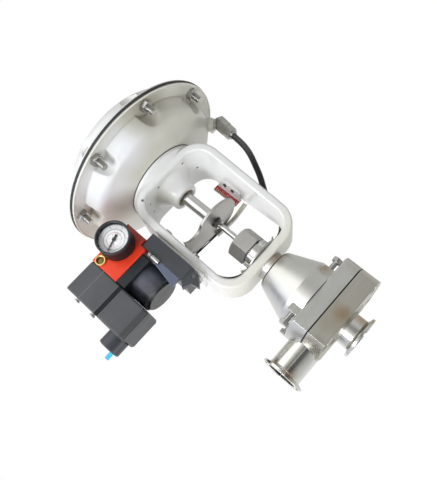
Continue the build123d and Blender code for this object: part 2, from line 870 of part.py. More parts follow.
def pressed_section(path, radii, rim_z):
    """Closed half section under or over a pressed profile, from the axis out to the rim."""
    (x0, z0), (x1, z1) = path[0], path[1]
    top_x = x0 + (x1 - x0) * (rim_z - z0) / (z1 - z0)
    line = FilletPolyline((top_x, rim_z), *path[1:], radius=radii)
    Polyline(line @ 1, (0, rim_z), line @ 0)


pan_path = [
    (pan_radius, diaphragm_rim_z),
    (pan_foot_radius, pan_foot_z),
    (pad_radius, casing_z),
    (0, casing_z),
]
cover_path = [
    (0, casing_top_z),
    (cover_flat_radius, casing_top_z),
    (cover_foot_radius, cover_foot_z),
    (pan_radius, upper_flange_z),
]
pan_radii = [14.0, 24.0]
cover_radii = [16.0, 20.0]

with BuildPart() as pan_space:
    with BuildSketch(Plane.XZ):
        with BuildLine():
            pressed_section(inset(pan_path, sheet), [r - sheet for r in pan_radii], diaphragm_rim_z)
        make_face()
    revolve(axis=Axis.Z)
    with BuildSketch(Plane.XY.offset(casing_z + sheet)):
        with PolarLocations(bolt_circle, casing_bolts_count, start_angle=first_bolt_angle):
            Circle(scallop_radius + sheet)
    extrude(amount=diaphragm_rim_z - casing_z, mode=Mode.SUBTRACT)

boss_outward = Vector(cos(radians(air_boss_turn)), sin(radians(air_boss_turn)), 0)
boss_direction = boss_outward * cos(radians(air_boss_tilt)) - Vector(0, 0, sin(radians(air_boss_tilt)))
elbow_direction = Vector(-sin(radians(elbow_lean)), 0, -cos(radians(elbow_lean)))
boss_root = boss_outward * (pan_radius - air_boss_inset) + Vector(0, 0, diaphragm_rim_z - air_boss_drop)
boss_face = boss_root + boss_direction * air_boss_reach
with BuildPart() as lower_casing:
    with BuildSketch(Plane.XZ):
        with BuildLine():
            pressed_section(pan_path, pan_radii, flange_low_z)
        make_face()
    revolve(axis=Axis.Z)
    with BuildSketch(Plane.XY.offset(casing_z)):
        with PolarLocations(bolt_circle, casing_bolts_count, start_angle=first_bolt_angle):
            Circle(scallop_radius)
    extrude(amount=flange_low_z - casing_z, mode=Mode.SUBTRACT)
    with BuildSketch(Plane.XY.offset(flange_low_z)):
        Circle(rim_radius)
    extrude(amount=sheet)
    with BuildSketch(Plane(origin=boss_face, z_dir=-boss_direction)):
        Circle(air_boss_radius)
    extrude(amount=air_boss_reach + air_boss_root)
    add(pan_space.part, mode=Mode.SUBTRACT)
    with BuildSketch(Plane(origin=boss_face, z_dir=-boss_direction)):
        Circle(nipple_radius)
    extrude(amount=air_boss_reach + air_boss_root + 4.0, mode=Mode.SUBTRACT)
    with BuildSketch(Plane.XY.offset(casing_z)):
        Circle(bushing_radius)
        with PolarLocations(pad_screw_circle, 4, start_angle=45):
            Circle(pad_screw_radius + hole_clearance)
    extrude(amount=sheet, mode=Mode.SUBTRACT)
    with BuildSketch(Plane.XY.offset(flange_low_z)):
        with PolarLocations(bolt_circle, casing_bolts_count, start_angle=first_bolt_angle):
            Circle(bolt_radius + hole_clearance)
    extrude(amount=sheet, mode=Mode.SUBTRACT)
lower_casing.part.label = "lower_casing"
export_step(lower_casing.part, "parts/lower_casing.step")

with BuildPart() as cover_space:
    with BuildSketch(Plane.XZ):
        with BuildLine():
            pressed_section(inset(cover_path, sheet)[::-1], [r - sheet for r in cover_radii[::-1]], upper_flange_z)
        make_face()
    revolve(axis=Axis.Z)
    with BuildSketch(Plane.XY.offset(upper_flange_z)):
        with PolarLocations(bolt_circle, casing_bolts_count, start_angle=first_bolt_angle):
            Circle(scallop_radius + sheet)
    extrude(amount=casing_top_z - sheet - upper_flange_z, mode=Mode.SUBTRACT)

with BuildPart() as upper_casing:
    with BuildSketch(Plane.XZ):
        with BuildLine():
            pressed_section(cover_path[::-1], cover_radii[::-1], upper_flange_z)
        make_face()
    revolve(axis=Axis.Z)
    with BuildSketch(Plane.XY.offset(upper_flange_z + sheet)):
        with PolarLocations(bolt_circle, casing_bolts_count, start_angle=first_bolt_angle):
            Circle(scallop_radius)
    extrude(amount=casing_top_z - upper_flange_z, mode=Mode.SUBTRACT)
    with BuildSketch(Plane.XY.offset(upper_flange_z)):
        Circle(rim_radius)
    extrude(amount=sheet)
    add(cover_space.part, mode=Mode.SUBTRACT)
    with BuildSketch(Plane.XY.offset(upper_flange_z)):
        with PolarLocations(bolt_circle, casing_bolts_count, start_angle=first_bolt_angle):
            Circle(bolt_radius + hole_clearance)
    extrude(amount=sheet, mode=Mode.SUBTRACT)
    with BuildSketch(Plane.XY.offset(casing_top_z - sheet)):
        with Locations((0, vent_place)):
            Circle(vent_radius)
    extrude(amount=sheet, mode=Mode.SUBTRACT)
upper_casing.part.label = "upper_casing"
export_step(upper_casing.part, "parts/upper_casing.step")

with BuildPart() as vent_plug:
    with BuildSketch(Plane.XY.offset(casing_top_z - sheet)):
        with Locations((0, vent_place)):
            Circle(vent_radius)
    extrude(amount=sheet)
    with BuildSketch(Plane.XY.offset(casing_top_z)):
        with Locations((0, vent_place)):
            RegularPolygon(vent_flats / 2, 6, major_radius=False)
    extrude(amount=vent_height)
    with BuildSketch(Plane.XY.offset(casing_top_z - sheet)):
        with Locations((0, vent_place)):
            Circle(vent_radius / 3)
    extrude(amount=vent_height + sheet, mode=Mode.SUBTRACT)
vent_plug.part.label = "vent_plug"
export_step(vent_plug.part, "parts/vent_plug.step")

casing_bolt_top = upper_flange_z + sheet
with BuildPart() as casing_bolts:
    with BuildSketch(Plane.XY.offset(flange_low_z - casing_bolt_end)):
        with PolarLocations(bolt_circle, casing_bolts_count, start_angle=first_bolt_angle):
            Circle(bolt_radius)
    extrude(amount=casing_bolt_top - flange_low_z + casing_bolt_end)
    with BuildSketch(Plane.XY.offset(casing_bolt_top)):
        with PolarLocations(bolt_circle, casing_bolts_count, start_angle=first_bolt_angle):
            RegularPolygon(bolt_flats / 2, 6, major_radius=False)
    extrude(amount=bolt_head)
casing_bolts.part.label = "casing_bolts"
export_step(casing_bolts.part, "parts/casing_bolts.step")

with BuildPart() as casing_nuts:
    with BuildSketch(Plane.XY.offset(flange_low_z - casing_nut_height)):
        with PolarLocations(bolt_circle, casing_bolts_count, start_angle=first_bolt_angle):
            RegularPolygon(bolt_flats / 2, 6, major_radius=False)
            Circle(bolt_radius, mode=Mode.SUBTRACT)
    extrude(amount=casing_nut_height)
casing_nuts.part.label = "casing_nuts"
export_step(casing_nuts.part, "parts/casing_nuts.step")

with BuildPart() as pad_screws:
    with BuildSketch(Plane.XY.offset(casing_z - pad_screw_depth)):
        with PolarLocations(pad_screw_circle, 4, start_angle=45):
            Circle(pad_screw_radius)
    extrude(amount=pad_screw_depth + sheet)
    with BuildSketch(Plane.XY.offset(casing_z + sheet)):
        with PolarLocations(pad_screw_circle, 4, start_angle=45):
            RegularPolygon(pad_screw_flats / 2, 6, major_radius=False)
    extrude(amount=pad_screw_head)
pad_screws.part.label = "pad_screws"
export_step(pad_screws.part, "parts/pad_screws.step")

roll_foot = plate_radius + 3.0
with BuildPart() as actuator_diaphragm:
    with BuildSketch(Plane.XZ):
        with BuildLine():
            Polyline(
                (spigot_stem_radius, membrane_low_z),
                (roll_foot, membrane_low_z),
                (convolution_radius, diaphragm_rim_z),
                (rim_radius + diaphragm_proud, diaphragm_rim_z),
                (rim_radius + diaphragm_proud, upper_flange_z),
                (convolution_radius - 2.0, upper_flange_z),
                (roll_foot - 1.7, plate_seat_z),
                (spigot_stem_radius, plate_seat_z),
                close=True,
            )
        make_face()
    revolve(axis=Axis.Z)
    with BuildSketch(Plane.XY.offset(diaphragm_rim_z)):
        with PolarLocations(bolt_circle, casing_bolts_count, start_angle=first_bolt_angle):
            Circle(bolt_radius + hole_clearance)
    extrude(amount=diaphragm_thick, mode=Mode.SUBTRACT)
actuator_diaphragm.part.label = "actuator_diaphragm"
export_step(actuator_diaphragm.part, "parts/actuator_diaphragm.step")

seat_low_z = casing_top_z - sheet - seat_thick
seat_lip_radius = spring_radius - spring_wire - seat_step
with BuildPart() as spring_seat:
    with BuildSketch(Plane.XZ):
        with BuildLine():
            Polyline(
                (seat_bore_radius, seat_low_z + seat_thick),
                (spring_cup_radius, seat_low_z + seat_thick),
                (spring_cup_radius, seat_low_z),
                (seat_lip_radius, seat_low_z),
                (seat_lip_radius - seat_step, seat_low_z - seat_lip),
                (seat_lip_radius - seat_thick - seat_step, seat_low_z - seat_lip),
                (seat_lip_radius - seat_thick - seat_step, seat_low_z),
                (seat_bore_radius, seat_low_z),
                close=True,
            )
        make_face()
    revolve(axis=Axis.Z)
spring_seat.part.label = "spring_seat"
export_step(spring_seat.part, "parts/spring_seat.step")

spring_low_z = clamp_nut_z + spring_wire
half_pitch = (seat_low_z - spring_wire - spring_low_z) / (2 * spring_turns)
arc_radius = hypot(spring_radius, half_pitch / 2)
with BuildPart() as range_spring:
    with BuildLine() as coil:
        for half_turn in range(2 * spring_turns):
            side = 1 if half_turn % 2 == 0 else -1
            foot_z = spring_low_z + half_turn * half_pitch
            ThreePointArc(
                (side * spring_radius, 0, foot_z),
                (0, side * arc_radius, foot_z + half_pitch / 2),
                (-side * spring_radius, 0, foot_z + half_pitch),
            )
    with BuildSketch(Plane(origin=(spring_radius, 0, spring_low_z), z_dir=(0, 1, 0))):
        Circle(spring_wire)
    sweep(path=coil.wires()[0])
range_spring.part.label = "range_spring"
export_step(range_spring.part, "parts/range_spring.step")

# ================================================================ air line
elbow_centre = boss_face + boss_direction * elbow_stand
nut_low = elbow_arm
nut_high = nut_low + elbow_nut_length
elbow_plane = Plane(origin=elbow_centre, x_dir=(0, 1, 0), z_dir=elbow_direction)
with BuildPart() as air_elbow:
    with BuildSketch(elbow_plane.offset(-elbow_flats / 2)):
        RegularPolygon(elbow_flats / 2, 6, major_radius=False)
    extrude(amount=elbow_flats / 2 + elbow_arm)
    chamfer(air_elbow.faces().sort_by(Axis(elbow_centre, elbow_direction))[0].edges(), 2.5)
    with BuildSketch(Plane(origin=boss_face - boss_direction * air_boss_reach, z_dir=boss_direction)):
        Circle(nipple_radius)
    extrude(amount=air_boss_reach + 4.0)
    with BuildSketch(Plane(origin=boss_face, z_dir=boss_direction)):
        Circle(nipple_radius + 2.5)
    extrude(amount=3.0)
    with BuildSketch(elbow_plane.offset(2.0)):
        Circle(tube_radius)
    extrude(amount=elbow_arm, mode=Mode.SUBTRACT)
air_elbow.part.label = "air_elbow"
export_step(air_elbow.part, "parts/air_elbow.step")

with BuildPart() as elbow_nut:
    with BuildSketch(elbow_plane.offset(nut_low)):
        RegularPolygon(elbow_nut_flats / 2, 6, major_radius=False)
    extrude(amount=nut_high - nut_low - elbow_nut_cone)
    with BuildSketch(elbow_plane.offset(nut_high - elbow_nut_cone)):
        Circle(elbow_nut_flats / 2 - 1.0)
    extrude(amount=elbow_nut_cone, taper=15)
    with BuildSketch(elbow_plane.offset(nut_low)):
        Circle(tube_radius)
    extrude(amount=nut_high - nut_low, mode=Mode.SUBTRACT)
elbow_nut.part.label = "elbow_nut"
export_step(elbow_nut.part, "parts/elbow_nut.step")

fitting_x = -(housing_x - fitting_inset)
tube_start = elbow_centre + elbow_direction * 2.0
tube_points = [
    tuple(tube_start),
    tuple(tube_start + elbow_direction * tube_drop),
    (89.0, 27.0, 222.0),
    (69.0, 38.0, 192.0),
    (56.5, 33.0, 150.0),
    (-46.0, 33.0, 150.0),
    (-47.0, fitting_y, fitting_z),
    (fitting_x + fitting_arm - tube_socket, fitting_y, fitting_z),
]
tube_radii = [50.0, 60.0, 60.0, 26.0, 33.0, 9.5]
with BuildPart() as air_tube:
    with BuildLine():
        route = FilletPolyline(*tube_points, radius=tube_radii)
    with BuildSketch(Plane(origin=route @ 0, z_dir=route % 0)):
        Circle(tube_radius)
    sweep(path=route)
air_tube.part.label = "air_tube"
export_step(air_tube.part, "parts/air_tube.step")
print("air tube length", round(route.length, 1), "volume", round(air_tube.part.volume, 1))
print("section by length", round(route.length * 3.14159265 * tube_radius**2, 1))

with BuildPart() as tube_fitting:
    with BuildSketch(Plane(origin=(fitting_x, housing_back_y, fitting_z), z_dir=(0, 1, 0))):
        Circle(nipple_radius)
    extrude(amount=fitting_y - housing_back_y)
    with BuildSketch(Plane(origin=(fitting_x, housing_back_y + 3.0, fitting_z), z_dir=(0, 1, 0))):
        RegularPolygon(fitting_radius, 6, major_radius=False)
    extrude(amount=5.0)
    with BuildSketch(Plane(origin=(fitting_x - fitting_radius, fitting_y, fitting_z), z_dir=(1, 0, 0))):
        Circle(fitting_radius)
    extrude(amount=fitting_arm + fitting_radius)
    with BuildSketch(Plane(origin=(fitting_x + fitting_arm - tube_socket, fitting_y, fitting_z), z_dir=(1, 0, 0))):
        Circle(tube_radius)
    extrude(amount=fitting_arm, mode=Mode.SUBTRACT)
tube_fitting.part.label = "tube_fitting"
export_step(tube_fitting.part, "parts/tube_fitting.step")

# ================================================================ travel scale
scale_mid_z = (scale_low_z + scale_high_z) / 2
scale_height = scale_high_z - scale_low_z
scale_back = scale_y + scale_thick
with BuildPart() as scale_bracket:
    with BuildSketch(Plane.XY.offset(scale_low_z)):
        with BuildLine():
            Polyline(
                (leg_inner, scale_foot_y),
                (leg_inner - scale_plate, scale_foot_y),
                (leg_inner - scale_plate, scale_back),
                (scale_x - 1.0, scale_back),
                (scale_x - 1.0, scale_back + scale_plate),
                (leg_inner, scale_back + scale_plate),
                close=True,
            )
        make_face()
    extrude(amount=scale_height)
    with BuildSketch(Plane.YZ.offset(leg_inner - scale_plate)):
        with Locations((scale_screw_y, scale_mid_z)):
            with GridLocations(1, scale_screw_pitch, 1, 2):
                Circle(scale_screw_radius - 0.9)
    extrude(amount=scale_plate, mode=Mode.SUBTRACT)
scale_bracket.part.label = "scale_bracket"
export_step(scale_bracket.part, "parts/scale_bracket.step")

with BuildPart() as travel_scale:
    with BuildSketch(Plane.XY.offset(scale_low_z)):
        with Locations((scale_x + scale_width / 2, scale_y + scale_thick / 2)):
            Rectangle(scale_width, scale_thick)
    extrude(amount=scale_height)
travel_scale.part.label = "travel_scale"
export_step(travel_scale.part, "parts/travel_scale.step")

with BuildPart() as scale_screws:
    with BuildSketch(Plane.YZ.offset(leg_inner - scale_plate)):
        with Locations((scale_screw_y, scale_mid_z)):
            with GridLocations(1, scale_screw_pitch, 1, 2):
                Circle(scale_screw_radius - 0.9)
    extrude(amount=scale_plate)
    with BuildSketch(Plane.YZ.offset(leg_inner - scale_plate)):
        with Locations((scale_screw_y, scale_mid_z)):
            with GridLocations(1, scale_screw_pitch, 1, 2):
                Circle(scale_screw_radius)
    extrude(amount=-1.6)
scale_screws.part.label = "scale_screws"
export_step(scale_screws.part, "parts/scale_screws.step")

# ================================================================ positioner
bracket_front = front_y + bracket_recess
bracket_back = housing_back_y + bracket_margin / 4
bracket_low = housing_low_z - bracket_margin
bracket_high = housing_high_z - bracket_margin / 8
pivot_z = plate_top_z + lever_gap + lever_pin_radius + travel / 2
with BuildPart() as positioner_bracket:
    with BuildSketch(Plane.YZ.offset(-bracket_x)):
        with Locations(((bracket_front + bracket_back) / 2, (bracket_low + bracket_high) / 2)):
            RectangleRounded(bracket_back - bracket_front, bracket_high - bracket_low, 5.0)
        with Locations((0, (slot_floor + slot_roof) / 2)):
            RectangleRounded(slot_width, slot_roof - slot_floor, 3.0, mode=Mode.SUBTRACT)
        with Locations((pivot_y, pivot_z)):
            Circle(lever_shaft_radius + running_fit, mode=Mode.SUBTRACT)
        for screw_z in bracket_screw_z:
            with Locations((-bracket_screw_y, screw_z), (bracket_screw_y, screw_z)):
                Circle(bracket_screw_radius, mode=Mode.SUBTRACT)
    extrude(amount=bracket_thick)
positioner_bracket.part.label = "positioner_bracket"
export_step(positioner_bracket.part, "parts/positioner_bracket.step")

with BuildPart() as bracket_screws:
    with BuildSketch(Plane.YZ.offset(-bracket_x)):
        for screw_z in bracket_screw_z:
            with Locations((-bracket_screw_y, screw_z), (bracket_screw_y, screw_z)):
                Circle(bracket_screw_radius)
    extrude(amount=bracket_thick + leg_thick)
    with BuildSketch(Plane.YZ.offset(-leg_inner)):
        for screw_z in bracket_screw_z:
            with Locations((-bracket_screw_y, screw_z), (bracket_screw_y, screw_z)):
                Circle(bracket_screw_radius + 2.0)
    extrude(amount=3.0)
bracket_screws.part.label = "bracket_screws"
export_step(bracket_screws.part, "parts/bracket_screws.step")

pocket_low = slot_floor - 12.0
pocket_high = slot_roof + 6.0
with BuildPart() as positioner_housing:
    with BuildSketch(Plane.YZ.offset(-housing_x)):
        with Locations(((front_y + housing_back_y) / 2, (housing_low_z + housing_high_z) / 2)):
            Rectangle(housing_back_y - front_y, housing_high_z - housing_low_z)
    extrude(amount=housing_width)
    chamfer(positioner_housing.edges().filter_by(Axis.X), 2.5)
    with BuildSketch(Plane.XZ.offset(-front_y - 3.0)):
        with BuildLine():
            Polyline(
                (-bracket_x - 1.5, housing_low_z + 2.0),
                (-bracket_x - 1.5, housing_low_z - 8.0),
                (-bracket_x - 12.0, housing_low_z - 19.0),
                (-bracket_x - 15.0, housing_low_z - 9.0),
                (-housing_x - 6.0, housing_low_z - 5.0),
                (-housing_x, housing_low_z + 2.0),
                close=True,
            )
        make_face()
        with Locations((-bracket_x - 6.5, housing_low_z - 5.0)):
            Circle(2.2, mode=Mode.SUBTRACT)
    extrude(amount=-8.0)
    with BuildSketch(Plane.YZ.offset(-bracket_x)):
        with Locations(((front_y + 6.0 + pocket_back_y) / 2, (pocket_low + pocket_high) / 2)):
            Rectangle(pocket_back_y - front_y - 6.0, pocket_high - pocket_low)
    extrude(amount=-(housing_width - housing_wall), mode=Mode.SUBTRACT)
    with BuildSketch(Plane.YZ.offset(-housing_x + housing_wall)):
        with Locations((pivot_y, pivot_z)):
            Circle(lever_shaft_radius + running_fit)
    extrude(amount=-2.0, mode=Mode.SUBTRACT)
positioner_housing.part.label = "positioner_housing"
export_step(positioner_housing.part, "parts/positioner_housing.step")

lever_reach = -pivot_y
lever_rest = degrees(atan2(travel / 2, lever_reach))
lever_length = hypot(lever_reach, travel / 2)
lever_plane = Plane.YZ.offset(-lever_plate_x - lever_thick)
shaft_start = -housing_x + housing_wall - 1.5
shaft_end = -bracket_x + bracket_thick - 0.5
with BuildPart() as feedback_lever:
    with BuildSketch(lever_plane):
        with Locations((pivot_y, pivot_z)):
            Circle(lever_hub_radius)
            with Locations(Location((0, 0), -lever_rest)):
                with Locations((lever_length / 2, 0)):
                    SlotCenterToCenter(lever_length, 6.0)
    extrude(amount=lever_thick)
    with BuildSketch(lever_plane):
        with Locations((pivot_y, pivot_z)):
            Circle(lever_hub_radius)
    extrude(amount=lever_thick + 6.0)
    with BuildSketch(Plane.YZ.offset(shaft_start)):
        with Locations((pivot_y, pivot_z)):
            Circle(lever_shaft_radius)
    extrude(amount=shaft_end - shaft_start)
    with BuildSketch(lever_plane):
        with Locations((0, pivot_z - travel / 2)):
            Circle(lever_pin_radius)
    extrude(amount=lever_thick + 9.0)
feedback_lever.part.label = "feedback_lever"
export_step(feedback_lever.part, "parts/feedback_lever.step")

# The valve block hangs from the manifold beside the housing.
cover_back = front_y + cover_depth
cover_edge_z = manifold_low_z - cover_margin
with BuildPart() as lever_cover:
    with BuildSketch(Plane.XZ.offset(-front_y)):
        with BuildLine():
            Polyline(
                (-housing_x, housing_low_z + cover_margin),
                (-housing_x - cover_width, housing_low_z + cover_margin),
                (-housing_x - cover_top_width, cover_edge_z),
                (-housing_x, cover_edge_z),
                close=True,
            )
        make_face()
    extrude(amount=-(cover_back - front_y))
    chamfer(lever_cover.faces().sort_by(Axis.Y)[0].edges(), 0.6)
lever_cover.part.label = "lever_cover"
export_step(lever_cover.part, "parts/lever_cover.step")

chamber_foot = 4.0
with BuildPart() as pilot_chamber:
    with BuildSketch(Plane.XY.offset(chamber_low_z)):
        with Locations((-chamber_x, chamber_y)):
            Circle(chamber_radius)
    extrude(amount=chamber_plate_z - chamber_low_z)
    chamfer(pilot_chamber.edges().group_by(Axis.Z)[0], chamber_foot)
pilot_chamber.part.label = "pilot_chamber"
export_step(pilot_chamber.part, "parts/pilot_chamber.step")

plate_right = housing_x + 6.0
with BuildPart() as pilot_plate:
    with BuildSketch(Plane.XY.offset(chamber_plate_z)):
        with Locations((-(manifold_left + plate_right) / 2, (front_y + 1.0 + manifold_back_y) / 2)):
            Rectangle(manifold_left - plate_right, manifold_back_y - front_y - 1.0)
    extrude(amount=manifold_low_z - chamber_plate_z)
    chamfer(pilot_plate.edges().filter_by(Axis.Z), 1.5)
pilot_plate.part.label = "pilot_plate"
export_step(pilot_plate.part, "parts/pilot_plate.step")

with BuildPart() as manifold_block:
    with BuildSketch(Plane.XZ.offset(-front_y)):
        with BuildLine():
            Polyline(
                (-manifold_left, manifold_low_z),
                (-housing_x - 0.3, manifold_low_z),
                (-housing_x - 0.3, housing_high_z),
                (-manifold_right, housing_high_z),
                (-manifold_right, manifold_high_z),
                (-manifold_left, manifold_high_z),
                close=True,
            )
        make_face()
    extrude(amount=-(manifold_back_y - front_y))
    chamfer(manifold_block.faces().sort_by(Axis.Y)[0].edges(), 0.8)
    with BuildSketch(Plane.XZ.offset(-front_y)):
        with Locations((-port_x, port_z)):
            Circle(port_radius)
    extrude(amount=-10.0, mode=Mode.SUBTRACT)
manifold_block.part.label = "manifold_block"
export_step(manifold_block.part, "parts/manifold_block.step")

with BuildPart() as brass_port:
    with BuildSketch(Plane.XZ.offset(-front_y - 10.0)):
        with Locations((-port_x, port_z)):
            Circle(port_radius)
            Circle(port_bore, mode=Mode.SUBTRACT)
    extrude(amount=10.0)
    with BuildSketch(Plane.XZ.offset(-front_y)):
        with Locations((-port_x, port_z)):
            Circle(port_radius + 1.0)
            Circle(port_bore, mode=Mode.SUBTRACT)
    extrude(amount=1.5)
brass_port.part.label = "brass_port"
export_step(brass_port.part, "parts/brass_port.step")

# ================================================================ gauge
gauge_back = -front_y + gauge_neck
gauge_front = gauge_back + gauge_depth
gauge_rim = 2.5
gauge_window = gauge_radius - gauge_rim
bezel_depth = 4.0
lens_thick = 1.6
dial_depth = 9.0
dial_thick = 1.0
arbor_radius = 0.9
needle_front = gauge_front - bezel_depth - 2.4
with BuildPart() as gauge_case:
    with BuildSketch(Plane.XZ.offset(gauge_back)):
        with Locations((-gauge_x, gauge_z)):
            Circle(gauge_radius)
    extrude(amount=gauge_depth - bezel_depth)
    chamfer(gauge_case.edges().sort_by(Axis.Y)[-1], 1.5)
    with BuildSketch(Plane.XZ.offset(-front_y)):
        with Locations((-gauge_x, gauge_z)):
            Circle(6.0)
    extrude(amount=gauge_neck)
    with BuildSketch(Plane.XZ.offset(gauge_front - bezel_depth)):
        with Locations((-gauge_x, gauge_z)):
            Circle(gauge_window)
    extrude(amount=-(dial_depth - bezel_depth), mode=Mode.SUBTRACT)
    with BuildSketch(Plane.XZ.offset(gauge_front - dial_depth)):
        with Locations((-gauge_x, gauge_z)):
            Circle(arbor_radius + running_fit)
    extrude(amount=-4.0, mode=Mode.SUBTRACT)
gauge_case.part.label = "gauge_case"
export_step(gauge_case.part, "parts/gauge_case.step")

with BuildPart() as gauge_dial:
    with BuildSketch(Plane.XZ.offset(gauge_front - dial_depth)):
        with Locations((-gauge_x, gauge_z)):
            Circle(gauge_window)
            Circle(arbor_radius + running_fit, mode=Mode.SUBTRACT)
    extrude(amount=dial_thick)
gauge_dial.part.label = "gauge_dial"
export_step(gauge_dial.part, "parts/gauge_dial.step")

needle_tip = gauge_window - 3.0
needle_tail = 6.0
needle_root = 1.3
with BuildPart() as gauge_pointer:
    with BuildSketch(Plane.XZ.offset(needle_front - 0.6)):
        with Locations(Location((-gauge_x, gauge_z), gauge_rest_angle)):
            Polygon(
                (-needle_tail, -needle_root),
                (needle_tip, -0.3),
                (needle_tip, 0.3),
                (-needle_tail, needle_root),
                align=None,
            )
            Circle(2.2)
    extrude(amount=0.6)
    with BuildSketch(Plane.XZ.offset(gauge_front - dial_depth - 3.5)):
        with Locations((-gauge_x, gauge_z)):
            Circle(arbor_radius)
    extrude(amount=needle_front - gauge_front + dial_depth + 3.5)
gauge_pointer.part.label = "gauge_pointer"
export_step(gauge_pointer.part, "parts/gauge_pointer.step")

with BuildPart() as gauge_lens:
    with BuildSketch(Plane.XZ.offset(gauge_front - bezel_depth)):
        with Locations((-gauge_x, gauge_z)):
            Circle(gauge_window + 1.0)
    extrude(amount=lens_thick)
gauge_lens.part.label = "gauge_lens"
export_step(gauge_lens.part, "parts/gauge_lens.step")

with BuildPart() as gauge_bezel:
    with BuildSketch(Plane.XZ.offset(gauge_front - bezel_depth)):
        with Locations((-gauge_x, gauge_z)):
            Circle(gauge_radius)
            Circle(gauge_window + 1.0, mode=Mode.SUBTRACT)
    extrude(amount=bezel_depth)
    with BuildSketch(Plane.XZ.offset(gauge_front - bezel_depth + lens_thick)):
        with Locations((-gauge_x, gauge_z)):
            Circle(gauge_radius)
            Circle(gauge_window, mode=Mode.SUBTRACT)
    extrude(amount=bezel_depth - lens_thick)
    chamfer(gauge_bezel.faces().sort_by(Axis.Y)[0].edges(), 0.8)
gauge_bezel.part.label = "gauge_bezel"
export_step(gauge_bezel.part, "parts/gauge_bezel.step")

# ================================================================ current-to-pressure converter
module_mid_x = -(module_left + manifold_left) / 2
module_width = module_left - manifold_left
module_mid_y = (front_y + module_back_y) / 2
module_depth = module_back_y - front_y


def module_section(low, high, inset_by, edge):
    """One stacked block of the converter between two heights, its upright edges eased."""
    with BuildPart() as section:
        with BuildSketch(Plane.XY.offset(low)):
            with Locations((module_mid_x, module_mid_y)):
                Rectangle(module_width - 2 * inset_by, module_depth - 2 * inset_by)
        extrude(amount=high - low)
        fillet(section.edges().filter_by(Axis.Z), edge)
    return section.part


with BuildPart() as module_cap:
    add(module_section(module_split_z, module_high_z, 0.0, 2.0))
    chamfer(module_cap.faces().sort_by(Axis.Z)[-1].edges(), 1.0)
module_cap.part.label = "module_cap"
export_step(module_cap.part, "parts/module_cap.step")

with BuildPart() as module_mid:
    add(module_section(joint_high_z, module_split_z, 0.0, 2.0))
module_mid.part.label = "module_mid"
export_step(module_mid.part, "parts/module_mid.step")

with BuildPart() as module_gasket:
    add(module_section(joint_low_z, joint_high_z, joint_inset, 1.0))
module_gasket.part.label = "module_gasket"
export_step(module_gasket.part, "parts/module_gasket.step")

with BuildPart() as module_lower:
    add(module_section(module_low_z, joint_low_z, 0.0, 3.0))
    chamfer(module_lower.faces().sort_by(Axis.Z)[0].edges(), 2.0)
module_lower.part.label = "module_lower"
export_step(module_lower.part, "parts/module_lower.step")

with BuildPart() as conduit_entry:
    with BuildSketch(Plane.YZ.offset(-module_left - entry_length)):
        with Locations((entry_y, entry_z)):
            Circle(entry_radius)
    extrude(amount=entry_length)
    chamfer(conduit_entry.edges().sort_by(Axis.X)[0], 1.0)
    with BuildSketch(Plane.YZ.offset(-module_left - entry_length)):
        with Locations((entry_y, entry_z)):
            Circle(entry_bore)
    extrude(amount=entry_length - 3.0, mode=Mode.SUBTRACT)
conduit_entry.part.label = "conduit_entry"
export_step(conduit_entry.part, "parts/conduit_entry.step")

plug_depth = 5.0
with BuildPart() as conduit_plug:
    with BuildSketch(Plane.YZ.offset(-module_left - entry_length)):
        with Locations((entry_y, entry_z)):
            Circle(entry_bore)
    extrude(amount=plug_depth)
    with BuildSketch(Plane.YZ.offset(-module_left - entry_length)):
        with Locations((entry_y, entry_z - entry_bore + 3.0)):
            RectangleRounded(3.0, 5.0, 1.0)
    extrude(amount=-9.0)
conduit_plug.part.label = "conduit_plug"
export_step(conduit_plug.part, "parts/conduit_plug.step")

cover_screw_x = -housing_x - cover_top_width * 0.75
cover_screw_z = cover_edge_z - cover_screw_length * 2 / 3
terminal_screw_places = [
    (terminal_screw_y, module_split_z + terminal_screw_lift),
    (terminal_screw_y, joint_high_z + terminal_screw_lift),
]
with BuildPart() as positioner_screws:
    with BuildSketch(Plane.YZ.offset(-module_left)):
        with Locations(*terminal_screw_places):
            Circle(terminal_screw_radius)
    extrude(amount=-terminal_screw_length)
    with BuildSketch(Plane.YZ.offset(-module_left - terminal_screw_length)):
        with Locations(*terminal_screw_places):
            Circle(terminal_screw_radius * 1.3)
    extrude(amount=terminal_screw_length * 0.4)
    with BuildSketch(Plane.XZ.offset(-front_y)):
        with Locations(Location((cover_screw_x, cover_screw_z), 80)):
            SlotOverall(cover_screw_length, cover_screw_width)
    extrude(amount=cover_screw_width / 2)
positioner_screws.part.label = "positioner_screws"
export_step(positioner_screws.part, "parts/positioner_screws.step")
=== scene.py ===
"""Looks of the sanitary diaphragm control valve: finishes for its solids, and the small pieces they lack.

Metres, in the valve's own frame: the origin is the centre of the outlet ferrule's face, +Z runs up
the stem, the inlet ferrule points to -X and the gauge faces -Y.
"""
import math

